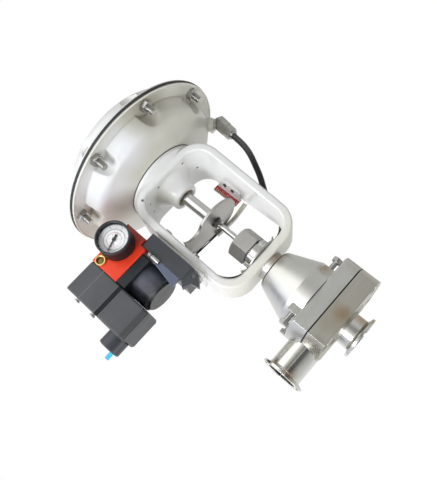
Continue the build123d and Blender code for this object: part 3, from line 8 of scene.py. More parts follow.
import bpy
from mathutils import Matrix, Vector
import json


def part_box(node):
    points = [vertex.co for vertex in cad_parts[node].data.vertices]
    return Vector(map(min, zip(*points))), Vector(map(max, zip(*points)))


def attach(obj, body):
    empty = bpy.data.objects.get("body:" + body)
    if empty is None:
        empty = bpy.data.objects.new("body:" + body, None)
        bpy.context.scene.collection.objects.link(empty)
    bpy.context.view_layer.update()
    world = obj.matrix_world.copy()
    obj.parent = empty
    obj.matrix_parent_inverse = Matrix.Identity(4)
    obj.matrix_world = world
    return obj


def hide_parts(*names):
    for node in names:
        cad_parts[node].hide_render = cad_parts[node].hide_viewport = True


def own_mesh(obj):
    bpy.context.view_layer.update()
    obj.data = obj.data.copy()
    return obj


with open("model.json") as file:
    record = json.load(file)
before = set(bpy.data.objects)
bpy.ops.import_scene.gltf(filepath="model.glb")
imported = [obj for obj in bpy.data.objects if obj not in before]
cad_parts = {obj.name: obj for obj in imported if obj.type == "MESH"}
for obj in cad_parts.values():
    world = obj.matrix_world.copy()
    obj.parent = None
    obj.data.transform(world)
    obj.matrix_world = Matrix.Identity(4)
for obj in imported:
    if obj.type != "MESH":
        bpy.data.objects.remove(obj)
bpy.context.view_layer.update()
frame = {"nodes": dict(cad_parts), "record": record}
nodes = frame["nodes"]
MM = 0.001
SAME_PLACE = 1e-5
FACING_FRONT = (math.pi / 2, 0, 0)


# ---------------------------------------------------------------- finishes
class Finish:
    """A procedural material being put together on Object coordinates."""

    def __init__(self, name, rough, metal=0.0, **sockets):
        self.material = bpy.data.materials.new(name)
        self.material.use_nodes = True
        self.tree = self.material.node_tree
        self.shader = self.tree.nodes["Principled BSDF"]
        self.shader.inputs["Roughness"].default_value = rough
        self.shader.inputs["Metallic"].default_value = metal
        for socket, value in sockets.items():
            self.shader.inputs[socket.replace("_", " ")].default_value = value
        self.place = self.add("ShaderNodeTexCoord").outputs["Object"]

    def add(self, kind, **settings):
        node = self.tree.nodes.new(kind)
        for key, value in settings.items():
            setattr(node, key, value)
        return node

    def feed(self, socket, value):
        """Link an output to a socket, or set a plain value on it."""
        if isinstance(value, bpy.types.NodeSocket):
            self.tree.links.new(value, socket)
        elif isinstance(value, (tuple, list)) and len(value) == 3 and socket.type == "RGBA":
            socket.default_value = (*value, 1.0)
        else:
            socket.default_value = value

    def cloud(self, scale, detail=3.0, stretch=(1, 1, 1), roughness=0.5):
        """Noise through the piece, stretched along its axes."""
        mapping = self.add("ShaderNodeMapping")
        self.feed(mapping.inputs["Vector"], self.place)
        self.feed(mapping.inputs["Scale"], stretch)
        noise = self.add("ShaderNodeTexNoise")
        self.feed(noise.inputs["Vector"], mapping.outputs["Vector"])
        self.feed(noise.inputs["Scale"], scale)
        self.feed(noise.inputs["Detail"], detail)
        self.feed(noise.inputs["Roughness"], roughness)
        return noise.outputs["Fac"]

    def ramp(self, factor, *stops):
        """Colour ramp through (position, value or colour) stops."""
        node = self.add("ShaderNodeValToRGB")
        self.feed(node.inputs["Fac"], factor)
        marks = node.color_ramp.elements
        while len(marks) < len(stops):
            marks.new(1.0)
        for mark, (position, value) in zip(marks, stops):
            mark.position = position
            mark.color = (*value, 1.0) if isinstance(value, tuple) else (value, value, value, 1.0)
        return node.outputs["Color"]

    def mix(self, factor, first, second):
        """One tone into another by a factor."""
        node = self.add("ShaderNodeMix", data_type="RGBA")
        self.feed(node.inputs[0], factor)
        self.feed(node.inputs[6], first)
        self.feed(node.inputs[7], second)
        return node.outputs[2]

    def reckon(self, how, first, second=0.5):
        node = self.add("ShaderNodeMath", operation=how)
        self.feed(node.inputs[0], first)
        self.feed(node.inputs[1], second)
        return node.outputs[0]

    def fade(self, value, start, end):
        """0 to 1 as a value goes from start to end."""
        node = self.add("ShaderNodeMapRange")
        self.feed(node.inputs["Value"], value)
        self.feed(node.inputs["From Min"], start)
        self.feed(node.inputs["From Max"], end)
        return node.outputs["Result"]

    def spot(self, centre, radius, soft=0.5):
        """1 inside a ball of that radius round centre, fading to 0 at its edge."""
        away = self.add("ShaderNodeVectorMath", operation="DISTANCE")
        self.feed(away.inputs[0], self.place)
        self.feed(away.inputs[1], centre)
        return self.fade(away.outputs["Value"], radius, radius * (1 - soft))

    def along(self, axis):
        parts = self.add("ShaderNodeSeparateXYZ")
        self.feed(parts.inputs[0], self.place)
        return parts.outputs[axis]

    def rise(self, axis, start, end):
        """0 to 1 between two places along an axis."""
        return self.fade(self.along(axis), start, end)

    def band(self, axis, middle, half):
        """1 on a plane across an axis, fading to 0 at `half` on each side of it."""
        off = self.reckon("ABSOLUTE", self.reckon("SUBTRACT", self.along(axis), middle))
        return self.fade(off, half, half * 0.4)

    def edges(self, reach):
        """1 along sharp edges, 0 on flats."""
        eased = self.add("ShaderNodeBevel", samples=6)
        self.feed(eased.inputs["Radius"], reach)
        kept = self.add("ShaderNodeVectorMath", operation="DOT_PRODUCT")
        self.feed(kept.inputs[0], eased.outputs["Normal"])
        self.feed(kept.inputs[1], self.add("ShaderNodeNewGeometry").outputs["True Normal"])
        return self.fade(kept.outputs["Value"], 0.995, 0.90)

    def thread(self, pitch, top):
        """Ridges round the vertical, one to a pitch, on what lies below `top`."""
        turn = self.reckon("MULTIPLY", self.along("Z"), 2 * math.pi / pitch)
        ridge = self.reckon("MULTIPLY_ADD", self.reckon("SINE", turn), 0.5)
        return self.reckon("MAXIMUM", ridge, self.rise("Z", top, top + 0.0002))

    def colour(self, value):
        self.feed(self.shader.inputs["Base Color"], value)
        return self

    def gloss(self, value):
        self.feed(self.shader.inputs["Roughness"], value)
        return self

    def bump(self, height, strength, depth, edge=0.0006):
        """Relief of the surface, on edges eased to a radius."""
        node = self.add("ShaderNodeBump")
        self.feed(node.inputs["Height"], height)
        self.feed(node.inputs["Strength"], strength)
        self.feed(node.inputs["Distance"], depth)
        if edge:
            eased = self.add("ShaderNodeBevel", samples=6)
            self.feed(eased.inputs["Radius"], edge)
            self.feed(node.inputs["Normal"], eased.outputs["Normal"])
        self.feed(self.shader.inputs["Normal"], node.outputs["Normal"])
        return self


HANDLED_STEEL = (0.36, 0.33, 0.27)
# Painted shade in the joints between parts.
SEAM_SHADE = (0.012, 0.010, 0.008)


def brushed_steel(name, dark, light, grain, rough=(0.28, 0.45), stains_and_shade=(), seams=()):
    """Stainless with a directional grain; `grain` stretches the noise along the polish.

    Clouds of stain and of painted shade are (centre, radius, tone); seams are (axis, place, half width) joints
    darkened with painted shade.
    """
    steel = Finish(name, 0.35, 1.0)
    lines = steel.cloud(90.0, 4.0, grain, roughness=0.6)
    patches = steel.cloud(28.0, 3.0)
    base = steel.mix(steel.ramp(lines, (0.25, 0.0), (0.75, 1.0)), dark, light)
    base = steel.mix(steel.ramp(patches, (0.35, 0.0), (0.75, 0.25)), base, HANDLED_STEEL)
    for centre, radius, tone in stains_and_shade:
        ragged = steel.ramp(patches, (0.35, 0.3), (0.6, 0.95))
        base = steel.mix(steel.reckon("MULTIPLY", steel.spot(centre, radius, 0.8), ragged), base, tone)
    for axis, place, half in seams:
        base = steel.mix(steel.band(axis, place, half), base, SEAM_SHADE)
    steel.colour(base)
    steel.gloss(steel.ramp(lines, (0.25, rough[0]), (0.8, rough[1])))
    return steel.bump(lines, 0.025, 0.0001)


STRAW = (0.42, 0.33, 0.22)
# Joints where the steel is darkened with painted shade:
BODY_PARTING = ("Z", 0.0440, 0.0011)
NECK_SHOULDER = ("Z", 0.1200, 0.0008)
INLET_WELD = ("X", -0.0462, 0.0012)
THREAD_PITCH = 1.25 * MM
THREAD_TOP = 323.5 * MM

body_steel = brushed_steel(
    "body brushed stainless", (0.44, 0.43, 0.375), (0.48, 0.47, 0.415), (0.25, 1.0, 3.0), (0.34, 0.46),
    stains_and_shade=[
        ((-0.008, -0.036, 0.034), 0.021, (0.36, 0.29, 0.20)),
        ((0.000, -0.036, 0.027), 0.012, (0.35, 0.27, 0.18)),
        # painted shade dimming the reflection on the body's left end
        ((-0.046, -0.024, 0.030), 0.020, (0.20, 0.19, 0.165)),
    ],
    seams=[BODY_PARTING],
)
bonnet_steel = brushed_steel(
    "bonnet turned stainless", (0.55, 0.55, 0.52), (0.59, 0.59, 0.56), (0.6, 0.6, 2.5), (0.32, 0.42),
    stains_and_shade=[
        ((0.029, -0.031, 0.072), 0.012, (0.30, 0.23, 0.15)),
        # brown stain together with painted shade on the flange's rounded right end
        ((0.056, -0.022, 0.054), 0.024, (0.25, 0.20, 0.13)),
        ((0.004, -0.024, 0.118), 0.010, (0.30, 0.28, 0.23)),
        ((0.010, -0.014, 0.125), 0.016, (0.34, 0.26, 0.20)),
    ],
    seams=[BODY_PARTING, NECK_SHOULDER],
)
ferrule_steel = brushed_steel(
    "polished ferrule stainless", (0.56, 0.56, 0.53), (0.62, 0.62, 0.59), (1.0, 1.0, 1.0), (0.14, 0.22),
    stains_and_shade=[
        ((0.019, -0.012, 0.012), 0.015, (0.40, 0.27, 0.13)),
        ((0.024, -0.010, 0.003), 0.022, (0.34, 0.27, 0.20)),
        ((0.022, 0.008, 0.001), 0.010, (0.32, 0.27, 0.21)),
        ((-0.084, -0.014, 0.052), 0.010, STRAW),
        ((-0.080, -0.022, 0.030), 0.012, STRAW),
    ],
    seams=[INLET_WELD],
)
turned_steel = brushed_steel(
    "turned stainless", (0.52, 0.52, 0.50), (0.60, 0.60, 0.58), (0.8, 0.8, 4.0), (0.12, 0.20),
)
plain_steel = brushed_steel(
    "plain stainless", (0.42, 0.415, 0.40), (0.50, 0.49, 0.47), (1.0, 1.0, 3.0), (0.34, 0.46),
)
bolt_steel = brushed_steel("bolt steel", (0.34, 0.34, 0.33), (0.50, 0.50, 0.49), (1.0, 1.0, 1.0), (0.25, 0.42))
plate_steel = brushed_steel(
    "plate stainless", (0.37, 0.365, 0.345), (0.44, 0.43, 0.41), (1.0, 1.0, 3.0), (0.34, 0.46),
    # the arm darkened as painted shade
    stains_and_shade=[((-0.048, 0.006, 0.212), 0.040, (0.17, 0.165, 0.145))],
)
straw_steel = brushed_steel(
    "straw stainless", (0.20, 0.18, 0.145), (0.32, 0.295, 0.24), (1.0, 1.0, 3.0), (0.30, 0.42),
)
fitting_steel = brushed_steel(
    "fitting steel", (0.34, 0.34, 0.32), (0.46, 0.46, 0.43), (1.0, 1.0, 1.0), (0.30, 0.45),
)

# The bolts' threads: the grooves are darkened as painted shade between the ridges.
threaded_steel = Finish("threaded bolt steel", 0.34, 1.0)
ridges = threaded_steel.thread(THREAD_PITCH, THREAD_TOP)
threaded_steel.colour(threaded_steel.mix(ridges, (0.16, 0.155, 0.14), (0.52, 0.51, 0.48)))
threaded_steel.bump(ridges, 0.6, 0.0004, 0.0003)

# The yoke's white paint is a little yellowed at its foot, darkened round the boss as painted shade under its
# top wall, and chipped in six places.
CHIPS = [
    (0.0235, -0.0281, 0.2840), (0.0398, 0.0023, 0.2809), (-0.0178, -0.0288, 0.2840),
    (-0.0437, -0.0397, 0.2814), (-0.0373, 0.0048, 0.2822), (-0.0374, -0.0164, 0.2821),
]
CHIP_RADIUS = 2.1 * MM
yoke_paint = Finish("yoke white paint", 0.32, 0.0, Coat_Weight=0.25, Coat_Roughness=0.15)
cast_skin = yoke_paint.cloud(260.0, 2.0)
wear = yoke_paint.ramp(yoke_paint.cloud(14.0, 3.0), (0.4, 0.0), (0.8, 0.5))
shade = yoke_paint.mix(wear, (0.87, 0.87, 0.845), (0.80, 0.79, 0.73))
shade = yoke_paint.mix(yoke_paint.rise("Z", 0.165, 0.128), shade, (0.82, 0.80, 0.70))
# painted shade under the top wall round the boss
shade = yoke_paint.mix(yoke_paint.spot((-0.022, -0.008, 0.282), 0.030, 0.8), shade, (0.60, 0.59, 0.52))
for chip in CHIPS:
    shade = yoke_paint.mix(yoke_paint.spot(chip, CHIP_RADIUS), shade, (0.13, 0.12, 0.10))
yoke_paint.colour(shade).bump(cast_skin, 0.10, 0.0003, 0.0015)

# The casing's cream paint is mottled with grime; painted highlights lie on its shoulder and painted shade at
# the rim and near the pad.
PAINTED_HIGHLIGHT = (0.88, 0.89, 0.90)
CASING_LIGHT_AND_SHADE = [
    # painted highlights on the shoulder
    ((-0.074, -0.062, 0.312), 0.050, 0.8, PAINTED_HIGHLIGHT),
    ((-0.022, -0.090, 0.314), 0.036, 0.8, PAINTED_HIGHLIGHT),
    # painted shade at the rim and near the pad
    ((0.030, -0.108, 0.324), 0.040, 0.9, (0.42, 0.40, 0.31)),
    ((-0.062, -0.020, 0.300), 0.034, 0.9, (0.38, 0.34, 0.28)),
]
casing_paint = Finish("casing cream paint", 0.30, 0.0, Coat_Weight=0.8, Coat_Roughness=0.26)
grime = casing_paint.ramp(casing_paint.cloud(18.0, 4.0), (0.42, 0.0), (0.75, 0.6))
shade = casing_paint.mix(grime, (0.70, 0.69, 0.60), (0.57, 0.55, 0.45))
for centre, radius, soft, tone in CASING_LIGHT_AND_SHADE:
    shade = casing_paint.mix(casing_paint.spot(centre, radius, soft), shade, tone)
casing_paint.colour(shade).bump(casing_paint.cloud(120.0, 2.0), 0.05, 0.0004, 0.0050)


def moulded(name, low, high, rough, grain=420.0, strength=0.12, highlit=None, shades=(), **sockets):
    """Moulded plastic: a mottled tone and a fine spark-eroded grain.

    An edge tone, if given, lightens its sharp edges as a painted highlight; shades are (axis, start, end,
    tone) fades of painted light and shade.
    """
    plastic = Finish(name, rough, 0.0, **sockets)
    tone = plastic.cloud(30.0, 3.0)
    skin = plastic.cloud(grain, 2.0)
    base = plastic.mix(plastic.ramp(tone, (0.3, 0.0), (0.75, 1.0)), low, high)
    for axis, start, end, shade in shades:
        base = plastic.mix(plastic.rise(axis, start, end), base, shade)
    if highlit:
        base = plastic.mix(plastic.edges(0.0007), base, highlit)
    plastic.colour(base)
    plastic.gloss(plastic.ramp(tone, (0.3, rough - 0.06), (0.8, rough + 0.08)))
    return plastic.bump(skin, strength, 0.0003)


finishes = {
    "stainless": body_steel,
    "stainless_machined": turned_steel,
    "bolt_steel": bolt_steel,
    "white_paint": yoke_paint,
    "casing_paint": casing_paint,
    "membrane_rubber": moulded(
        "diaphragm rubber", (0.012, 0.012, 0.012), (0.03, 0.03, 0.028), 0.6, 200.0, 0.4,
    ),
    "packing": moulded("packing", (0.72, 0.71, 0.66), (0.80, 0.79, 0.75), 0.5),
    "bronze": moulded("bushing bronze", (0.45, 0.30, 0.16), (0.58, 0.42, 0.25), 0.35, Metallic=1.0),
    "spring_steel": moulded("spring paint", (0.10, 0.11, 0.13), (0.16, 0.17, 0.19), 0.4),
    # red manifold: darker towards its right end, the painted shadow of the gauge
    "red_anodised": moulded(
        "red manifold", (0.78, 0.040, 0.012), (0.92, 0.070, 0.020), 0.38, 300.0, 0.05,
        shades=[("X", -0.0900, -0.0790, (0.34, 0.016, 0.007))],
    ),
    "scale_red": moulded("scale red", (0.42, 0.035, 0.050), (0.56, 0.060, 0.080), 0.4),
    "black_plastic": moulded("black moulding", (0.010, 0.011, 0.014), (0.022, 0.024, 0.030), 0.38),
    # grey mouldings: edges lightened as a painted highlight, the bottom below z 190.5 mm darkened as painted
    # shade
    "grey_plastic": moulded(
        "grey moulding", (0.048, 0.052, 0.055), (0.078, 0.083, 0.086), 0.46, highlit=(0.20, 0.20, 0.195),
        shades=[("Z", 0.1905, 0.1895, (0.024, 0.027, 0.029)), ("Z", 0.1895, 0.1880, (0.026, 0.029, 0.031))],
    ),
    # housing: edges lightened as a painted highlight
    "housing_plastic": moulded(
        "housing moulding", (0.028, 0.032, 0.037), (0.046, 0.051, 0.058), 0.42, highlit=(0.10, 0.105, 0.11),
    ),
    "cover_grey": moulded("lever cover", (0.085, 0.100, 0.150), (0.13, 0.15, 0.21), 0.42),
    "dial_white": moulded("dial face", (0.92, 0.92, 0.91), (0.96, 0.96, 0.95), 0.5, 100.0, 0.0),
    "brass": moulded("brass", (0.50, 0.33, 0.12), (0.68, 0.48, 0.20), 0.3, 200.0, 0.1, Metallic=1.0),
    "dark_steel": moulded("blacked steel", (0.012, 0.012, 0.012), (0.03, 0.03, 0.03), 0.4),
    "black_zinc": moulded("black screws", (0.012, 0.012, 0.012), (0.02, 0.02, 0.02), 0.35),
    # air tube: lighter above z 232 mm, a painted highlight
    "tube_black": moulded(
        "air tube", (0.012, 0.012, 0.013), (0.022, 0.022, 0.024), 0.3,
        shades=[("Z", 0.232, 0.250, (0.085, 0.085, 0.082))],
    ),
    "fitting_metal": fitting_steel,
    "cyan_plastic": moulded("shipping plug", (0.05, 0.45, 0.66), (0.09, 0.58, 0.80), 0.35),
}
lens = Finish("gauge lens", 0.03, 0.0, Transmission_Weight=1.0, IOR=1.25, Alpha=0.12)
lens.colour(lens.mix(lens.cloud(40.0), (0.96, 0.98, 0.98), (1.0, 1.0, 1.0)))
finishes["lens"] = lens

# pilot drum: its bottom end darkened as painted shade
drum_plastic = moulded(
    "pilot drum moulding", (0.026, 0.028, 0.032), (0.088, 0.096, 0.122), 0.28, 300.0, 0.2,
    shades=[("Z", 0.1970, 0.1955, (0.005, 0.006, 0.006))], Specular_IOR_Level=0.4,
)
gauge_black = moulded(
    "gauge case moulding", (0.004, 0.005, 0.005), (0.010, 0.011, 0.012), 0.5, 300.0, 0.1,
    Specular_IOR_Level=0.35,
)
# conduit entry: edges lightened as a painted highlight
entry_plastic = moulded(
    "conduit entry moulding", (0.026, 0.030, 0.036), (0.045, 0.050, 0.060), 0.34, highlit=(0.12, 0.13, 0.15),
)
pilot_plastic = moulded(
    "pilot plate moulding", (0.008, 0.011, 0.013), (0.014, 0.018, 0.021), 0.44, Specular_IOR_Level=0.35,
)
band_plastic = moulded(
    "gasket band moulding", (0.004, 0.005, 0.005), (0.007, 0.008, 0.009), 0.55, Specular_IOR_Level=0.25,
)

# Nodes whose finish differs from the rest of their material slot.
own_finishes = {
    "bonnet": bonnet_steel,
    "casing_bolts": threaded_steel,
    "pilot_chamber": drum_plastic,
    "pilot_plate": pilot_plastic,
    "gauge_case": gauge_black,
    "conduit_entry": entry_plastic,
    "scale_bracket": yoke_paint,
    # the upper casing takes the whiter yoke paint as a painted highlight
    "upper_casing": yoke_paint,
    "inlet_ferrule": ferrule_steel,
    "outlet_ferrule": ferrule_steel,
    "packing_nut": plain_steel,
    "yoke_locknut": turned_steel,
    "yoke_washer": fitting_steel,
    "takeoff_plate": plate_steel,
    "pointer": plate_steel,
    "stem_nut": turned_steel,
    "positioner_bracket": yoke_paint,
}
slots = {entry["node"]: entry["material_slot"] for entry in frame["record"]["subparts"]}
for name, part in nodes.items():
    finish = own_finishes.get(name, finishes[slots[name]])
    part.data.materials.clear()
    part.data.materials.append(finish.material)


# ---------------------------------------------------------------- a maker's moves
def look_alone(piece):
    """Select one piece and nothing else."""
    bpy.ops.object.select_all(action="DESELECT")
    piece.select_set(True)
    bpy.context.view_layer.objects.active = piece


def put_on(piece, name, look, body="valve", replaced=()):
    """Fix a modelled piece in the valve's frame, with its finish and the body that carries it."""
    look_alone(piece)
    bpy.ops.object.transform_apply(location=True, rotation=True, scale=True)
    piece.name = piece.data.name = name
    piece.data.materials.clear()
    piece.data.materials.append(look.material)
    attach(piece, body)
    if replaced:
        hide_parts(*replaced)
    return piece


def eased(piece, width, segments=2):
    """Round a piece's edges for good."""
    look_alone(piece)
    bpy.ops.object.transform_apply(location=False, rotation=False, scale=True)
    bevel = piece.modifiers.new("edges", "BEVEL")
    bevel.width = width
    bevel.segments = segments
    bevel.limit_method = "ANGLE"
    bpy.ops.object.modifier_apply(modifier=bevel.name)
    return piece


def block(centre, size, edge, turn=(0, 0, 0)):
    """A block with eased edges, its centre, size and easing in millimetres."""
    bpy.ops.object.select_all(action="DESELECT")
    bpy.ops.mesh.primitive_cube_add(
        size=1.0, location=Vector(centre) * MM, rotation=turn, scale=Vector(size) * MM
    )
    return eased(bpy.context.object, edge * MM)


def rod(centre, radius, length, edge, turn=(0, 0, 0), sides=32):
    """A round bar with eased ends, its centre and sizes in millimetres."""
    bpy.ops.object.select_all(action="DESELECT")
    bpy.ops.mesh.primitive_cylinder_add(
        vertices=sides, radius=radius * MM, depth=length * MM, location=Vector(centre) * MM, rotation=turn
    )
    round_piece = eased(bpy.context.object, edge * MM)
    bpy.ops.object.shade_smooth_by_angle(angle=math.radians(40))
    return round_piece


def bored(piece, radius):
    """Bore a rod through: its two ends are inset to the bore and joined by its wall."""
    look_alone(piece)
    bpy.ops.object.mode_set(mode="EDIT")
    bpy.ops.mesh.select_mode(type="FACE")
    bpy.ops.mesh.select_all(action="DESELECT")
    bpy.ops.object.mode_set(mode="OBJECT")
    ends = [face for face in piece.data.polygons if len(face.vertices) > 8]
    reach = max(piece.data.vertices[corner].co.to_2d().length for corner in ends[0].vertices)
    for face in ends:
        face.select = True
    bpy.ops.object.mode_set(mode="EDIT")
    bpy.ops.mesh.inset(thickness=reach - radius * MM, use_individual=True)
    bpy.ops.mesh.bridge_edge_loops()
    bpy.ops.object.mode_set(mode="OBJECT")
    return piece


def again(piece, turn):
    """A copy of a modelled piece with its own mesh, moved by a matrix."""
    bpy.context.view_layer.update()
    twin = piece.copy()
    twin.data = piece.data.copy()
    bpy.context.scene.collection.objects.link(twin)
    twin.matrix_world = turn @ piece.matrix_world
    return twin


def joined(pieces):
    """Several modelled pieces made one."""
    bpy.ops.object.select_all(action="DESELECT")
    for piece in pieces:
        piece.select_set(True)
    bpy.context.view_layer.objects.active = pieces[0]
    bpy.ops.object.join()
    return bpy.context.object


def ring(radius, wire, height, name, look):
    """A round bead spun about the stem's axis, its sizes in millimetres."""
    bpy.ops.object.select_all(action="DESELECT")
    bpy.ops.mesh.primitive_circle_add(
        vertices=12, radius=wire * MM, location=(radius * MM, 0, height * MM), rotation=FACING_FRONT
    )
    bead = bpy.context.object
    look_alone(bead)
    bpy.ops.object.transform_apply(location=True, rotation=True, scale=True)
    bpy.ops.object.mode_set(mode="EDIT")
    bpy.ops.mesh.select_all(action="SELECT")
    bpy.ops.mesh.spin(steps=180, angle=2 * math.pi, center=(0, 0, height * MM), axis=(0, 0, 1))
    bpy.ops.mesh.select_all(action="SELECT")
    bpy.ops.mesh.remove_doubles(threshold=SAME_PLACE)
    bpy.ops.mesh.normals_make_consistent(inside=False)
    bpy.ops.object.mode_set(mode="OBJECT")
    bpy.ops.object.shade_smooth()
    put_on(bead, name, look)


def bent_strip(bends, low, high, thick):
    """A strip on edge, bent at (x, y) places and as thick as given, in millimetres."""
    bpy.ops.object.select_all(action="DESELECT")
    bpy.ops.mesh.primitive_plane_add(size=1.0)
    strip = bpy.context.object
    corners = [(*bends[end], height) for height in (low, high) for end in (0, 1)]
    for vertex, corner in zip(strip.data.vertices, corners):
        vertex.co = Vector(corner) * MM
    look_alone(strip)
    for here, there in zip(bends[1:], bends[2:]):
        reach = max(vertex.co.x for vertex in strip.data.vertices)
        for vertex in strip.data.vertices:
            vertex.select = abs(vertex.co.x - reach) < SAME_PLACE
        for edge in strip.data.edges:
            edge.select = all(strip.data.vertices[end].select for end in edge.vertices)
        for face in strip.data.polygons:
            face.select = False
        bpy.ops.object.mode_set(mode="EDIT")
        bpy.ops.mesh.select_mode(type="EDGE")
        step = Vector((there[0] - here[0], there[1] - here[1], 0)) * MM
        bpy.ops.mesh.extrude_region_move(TRANSFORM_OT_translate={"value": step})
        bpy.ops.object.mode_set(mode="OBJECT")
    sheet = strip.modifiers.new("sheet", "SOLIDIFY")
    sheet.thickness = thick * MM
    sheet.offset = 0.0
    bpy.ops.object.modifier_apply(modifier=sheet.name)
    return eased(strip, 0.2 * MM)


def wound(low, high, radius, wire, turns):
    """A coil spring about the stem's axis, from a round of wire turned up its height."""
    bpy.ops.object.select_all(action="DESELECT")
    bpy.ops.mesh.primitive_circle_add(
        vertices=14, radius=wire, location=(radius - wire, 0, low + wire), rotation=FACING_FRONT
    )
    coil = bpy.context.object
    look_alone(coil)
    bpy.ops.object.transform_apply(location=True, rotation=True, scale=True)
    winding = coil.modifiers.new("winding", "SCREW")
    winding.axis = "Z"
    winding.iterations = turns
    winding.steps = winding.render_steps = 48
    winding.screw_offset = (high - low - 2 * wire) / turns
    winding.use_merge_vertices = False
    bpy.ops.object.modifier_apply(modifier=winding.name)
    bpy.ops.object.mode_set(mode="EDIT")
    bpy.ops.mesh.select_all(action="SELECT")
    bpy.ops.mesh.fill_holes(sides=14)
    bpy.ops.mesh.select_all(action="SELECT")
    bpy.ops.mesh.normals_make_consistent(inside=False)
    bpy.ops.object.mode_set(mode="OBJECT")
    bpy.ops.object.shade_smooth_by_angle(angle=math.radians(40))
    return coil


# ---------------------------------------------------------------- small pieces
black_ink = moulded("dial black print", (0.012, 0.012, 0.012), (0.03, 0.03, 0.03), 0.6, 200.0, 0.0)
red_ink = moulded("dial red print", (0.50, 0.06, 0.07), (0.62, 0.10, 0.11), 0.6, 200.0, 0.0)
cream_ink = moulded("scale cream marks", (0.72, 0.58, 0.36), (0.85, 0.72, 0.50), 0.5, 200.0, 0.0)
seam_dark = moulded("seam shade", (0.006, 0.006, 0.007), (0.012, 0.012, 0.013), 0.6)
brass_shade = moulded(
    "brass thread in shade", (0.14, 0.10, 0.035), (0.22, 0.16, 0.06), 0.4, 200.0, 0.4, Metallic=1.0,
)
# lighter than the casing paint: a painted highlight on the rolled edge
edge_highlight_paint = moulded("casing edge paint", (0.86, 0.85, 0.76), (0.90, 0.89, 0.82), 0.3)
# a lighter line: a painted highlight on the converter's cap joint
edge_light = moulded("worn moulding edge", (0.16, 0.16, 0.15), (0.24, 0.24, 0.23), 0.4)

# gauge dial: 270 degrees of graduations, black outside and red inside, with plain numbers
DIAL = Vector((-100.0, -58.05, 263.0))
DIAL_START = -135
DIAL_SWEEP = 270


def on_dial(angle):
    """Turn about the dial's axis, clockwise from its top as it is read."""
    there = Matrix.Translation(DIAL * MM)
    return there @ Matrix.Rotation(math.radians(angle), 4, "Y") @ there.inverted()


def graduations(reach, steps, every, short, long, width, look, name):
    """Marks outwards from a radius, longer at every whole step."""
    marks = []
    for step in range(steps + 1):
        whole = step % every == 0
        if step < 2:
            length = long if whole else short
            place = DIAL + Vector((0, 0, reach + length / 2))
            mark = block(place, (width, 0.1, length), 0.02)
            bpy.context.view_layer.update()
            mark.matrix_world = on_dial(DIAL_START + DIAL_SWEEP * step / steps) @ mark.matrix_world
            marks.append(mark)
        else:
            source, at = (marks[0], 0) if whole else (marks[1], 1)
            marks.append(again(source, on_dial(DIAL_SWEEP * (step - at) / steps)))
    return put_on(joined(marks), name, look)


def dial_arc(radius, width, look, name):
    """The line that the marks stand on, open at the foot of the dial."""
    bpy.ops.object.select_all(action="DESELECT")
    bpy.ops.curve.primitive_bezier_circle_add(
        radius=radius * MM, location=DIAL * MM, rotation=(math.pi / 2, math.radians(-45), 0)
    )
    arc = bpy.context.object
    arc.data.bevel_depth = width / 2 * MM
    arc.data.bevel_resolution = 1
    arc.data.resolution_u = 24
    arc.data.bevel_factor_mapping_end = "SPLINE"
    arc.data.bevel_factor_end = DIAL_SWEEP / 360
    arc.data.use_fill_caps = True
    look_alone(arc)
    bpy.ops.object.convert(target="MESH")
    return put_on(bpy.context.object, name, look)


def dial_numbers(values, radius, height, look, name):
    """Plain numbers round the dial, upright, evenly spread over its sweep."""
    figures = []
    for place, value in enumerate(values):
        angle = math.radians(DIAL_START + DIAL_SWEEP * place / (len(values) - 1))
        spot = DIAL + Vector((math.sin(angle), 0, math.cos(angle))) * radius
        bpy.ops.object.select_all(action="DESELECT")
        bpy.ops.object.text_add(location=spot * MM, rotation=FACING_FRONT)
        figure = bpy.context.object
        figure.data.body = str(value)
        figure.data.size = height * MM
        figure.data.align_x = "CENTER"
        figure.data.align_y = "CENTER"
        figure.data.extrude = 0.04 * MM
        bpy.ops.object.convert(target="MESH")
        figures.append(bpy.context.object)
    return put_on(joined(figures), name, look)


graduations(12.0, 50, 5, 1.2, 2.2, 0.22, black_ink, "dial_black_marks")
graduations(8.2, 30, 5, 0.9, 1.6, 0.22, red_ink, "dial_red_marks")
dial_arc(12.0, 0.30, black_ink, "dial_black_arc")
dial_arc(8.2, 0.24, red_ink, "dial_red_arc")
dial_numbers((0, 2, 4, 6, 8, 10), 15.6, 2.3, black_ink, "dial_black_numbers")
dial_numbers((0, 3, 6, 9, 12, 15), 6.0, 2.0, red_ink, "dial_red_numbers")

# travel scale: cream graduations along its inner edge
SCALE_STEPS = 12
SCALE_FOOT = Vector((40.0, 32.95, 221.5))
SCALE_LENGTH = 33.0
ticks = []
for step in range(SCALE_STEPS + 1):
    whole = step % 3 == 0
    if step < 2:
        length = 4.2 if whole else 3.0
        place = SCALE_FOOT + Vector((length / 2, 0, SCALE_LENGTH * step / SCALE_STEPS))
        ticks.append(block(place, (length, 0.12, 0.9), 0.03))
    else:
        source, at = (ticks[0], 0) if whole else (ticks[1], 1)
        lift = Vector((0, 0, SCALE_LENGTH * (step - at) / SCALE_STEPS)) * MM
        ticks.append(again(source, Matrix.Translation(lift)))
put_on(joined(ticks), "scale_marks", cream_ink)

# pointer: its raised rear edge, bent as the strip is
POINTER_BENDS = [(2.0, 32.0), (17.9, 34.6), (28.0, 34.6), (38.2, 31.0), (47.6, 27.0)]
put_on(bent_strip(POINTER_BENDS, 207.6, 213.4, 1.0), "pointer_web", straw_steel, "stem")

# take-off plate: the turned-down lip along its rear edge, near black as painted shade
lip = block((-20.5, 28.0, 211.2), (46.0, 1.1, 1.5), 0.2, (0, 0, math.radians(8.7)))
put_on(lip, "plate_rear_lip", seam_dark, "stem")

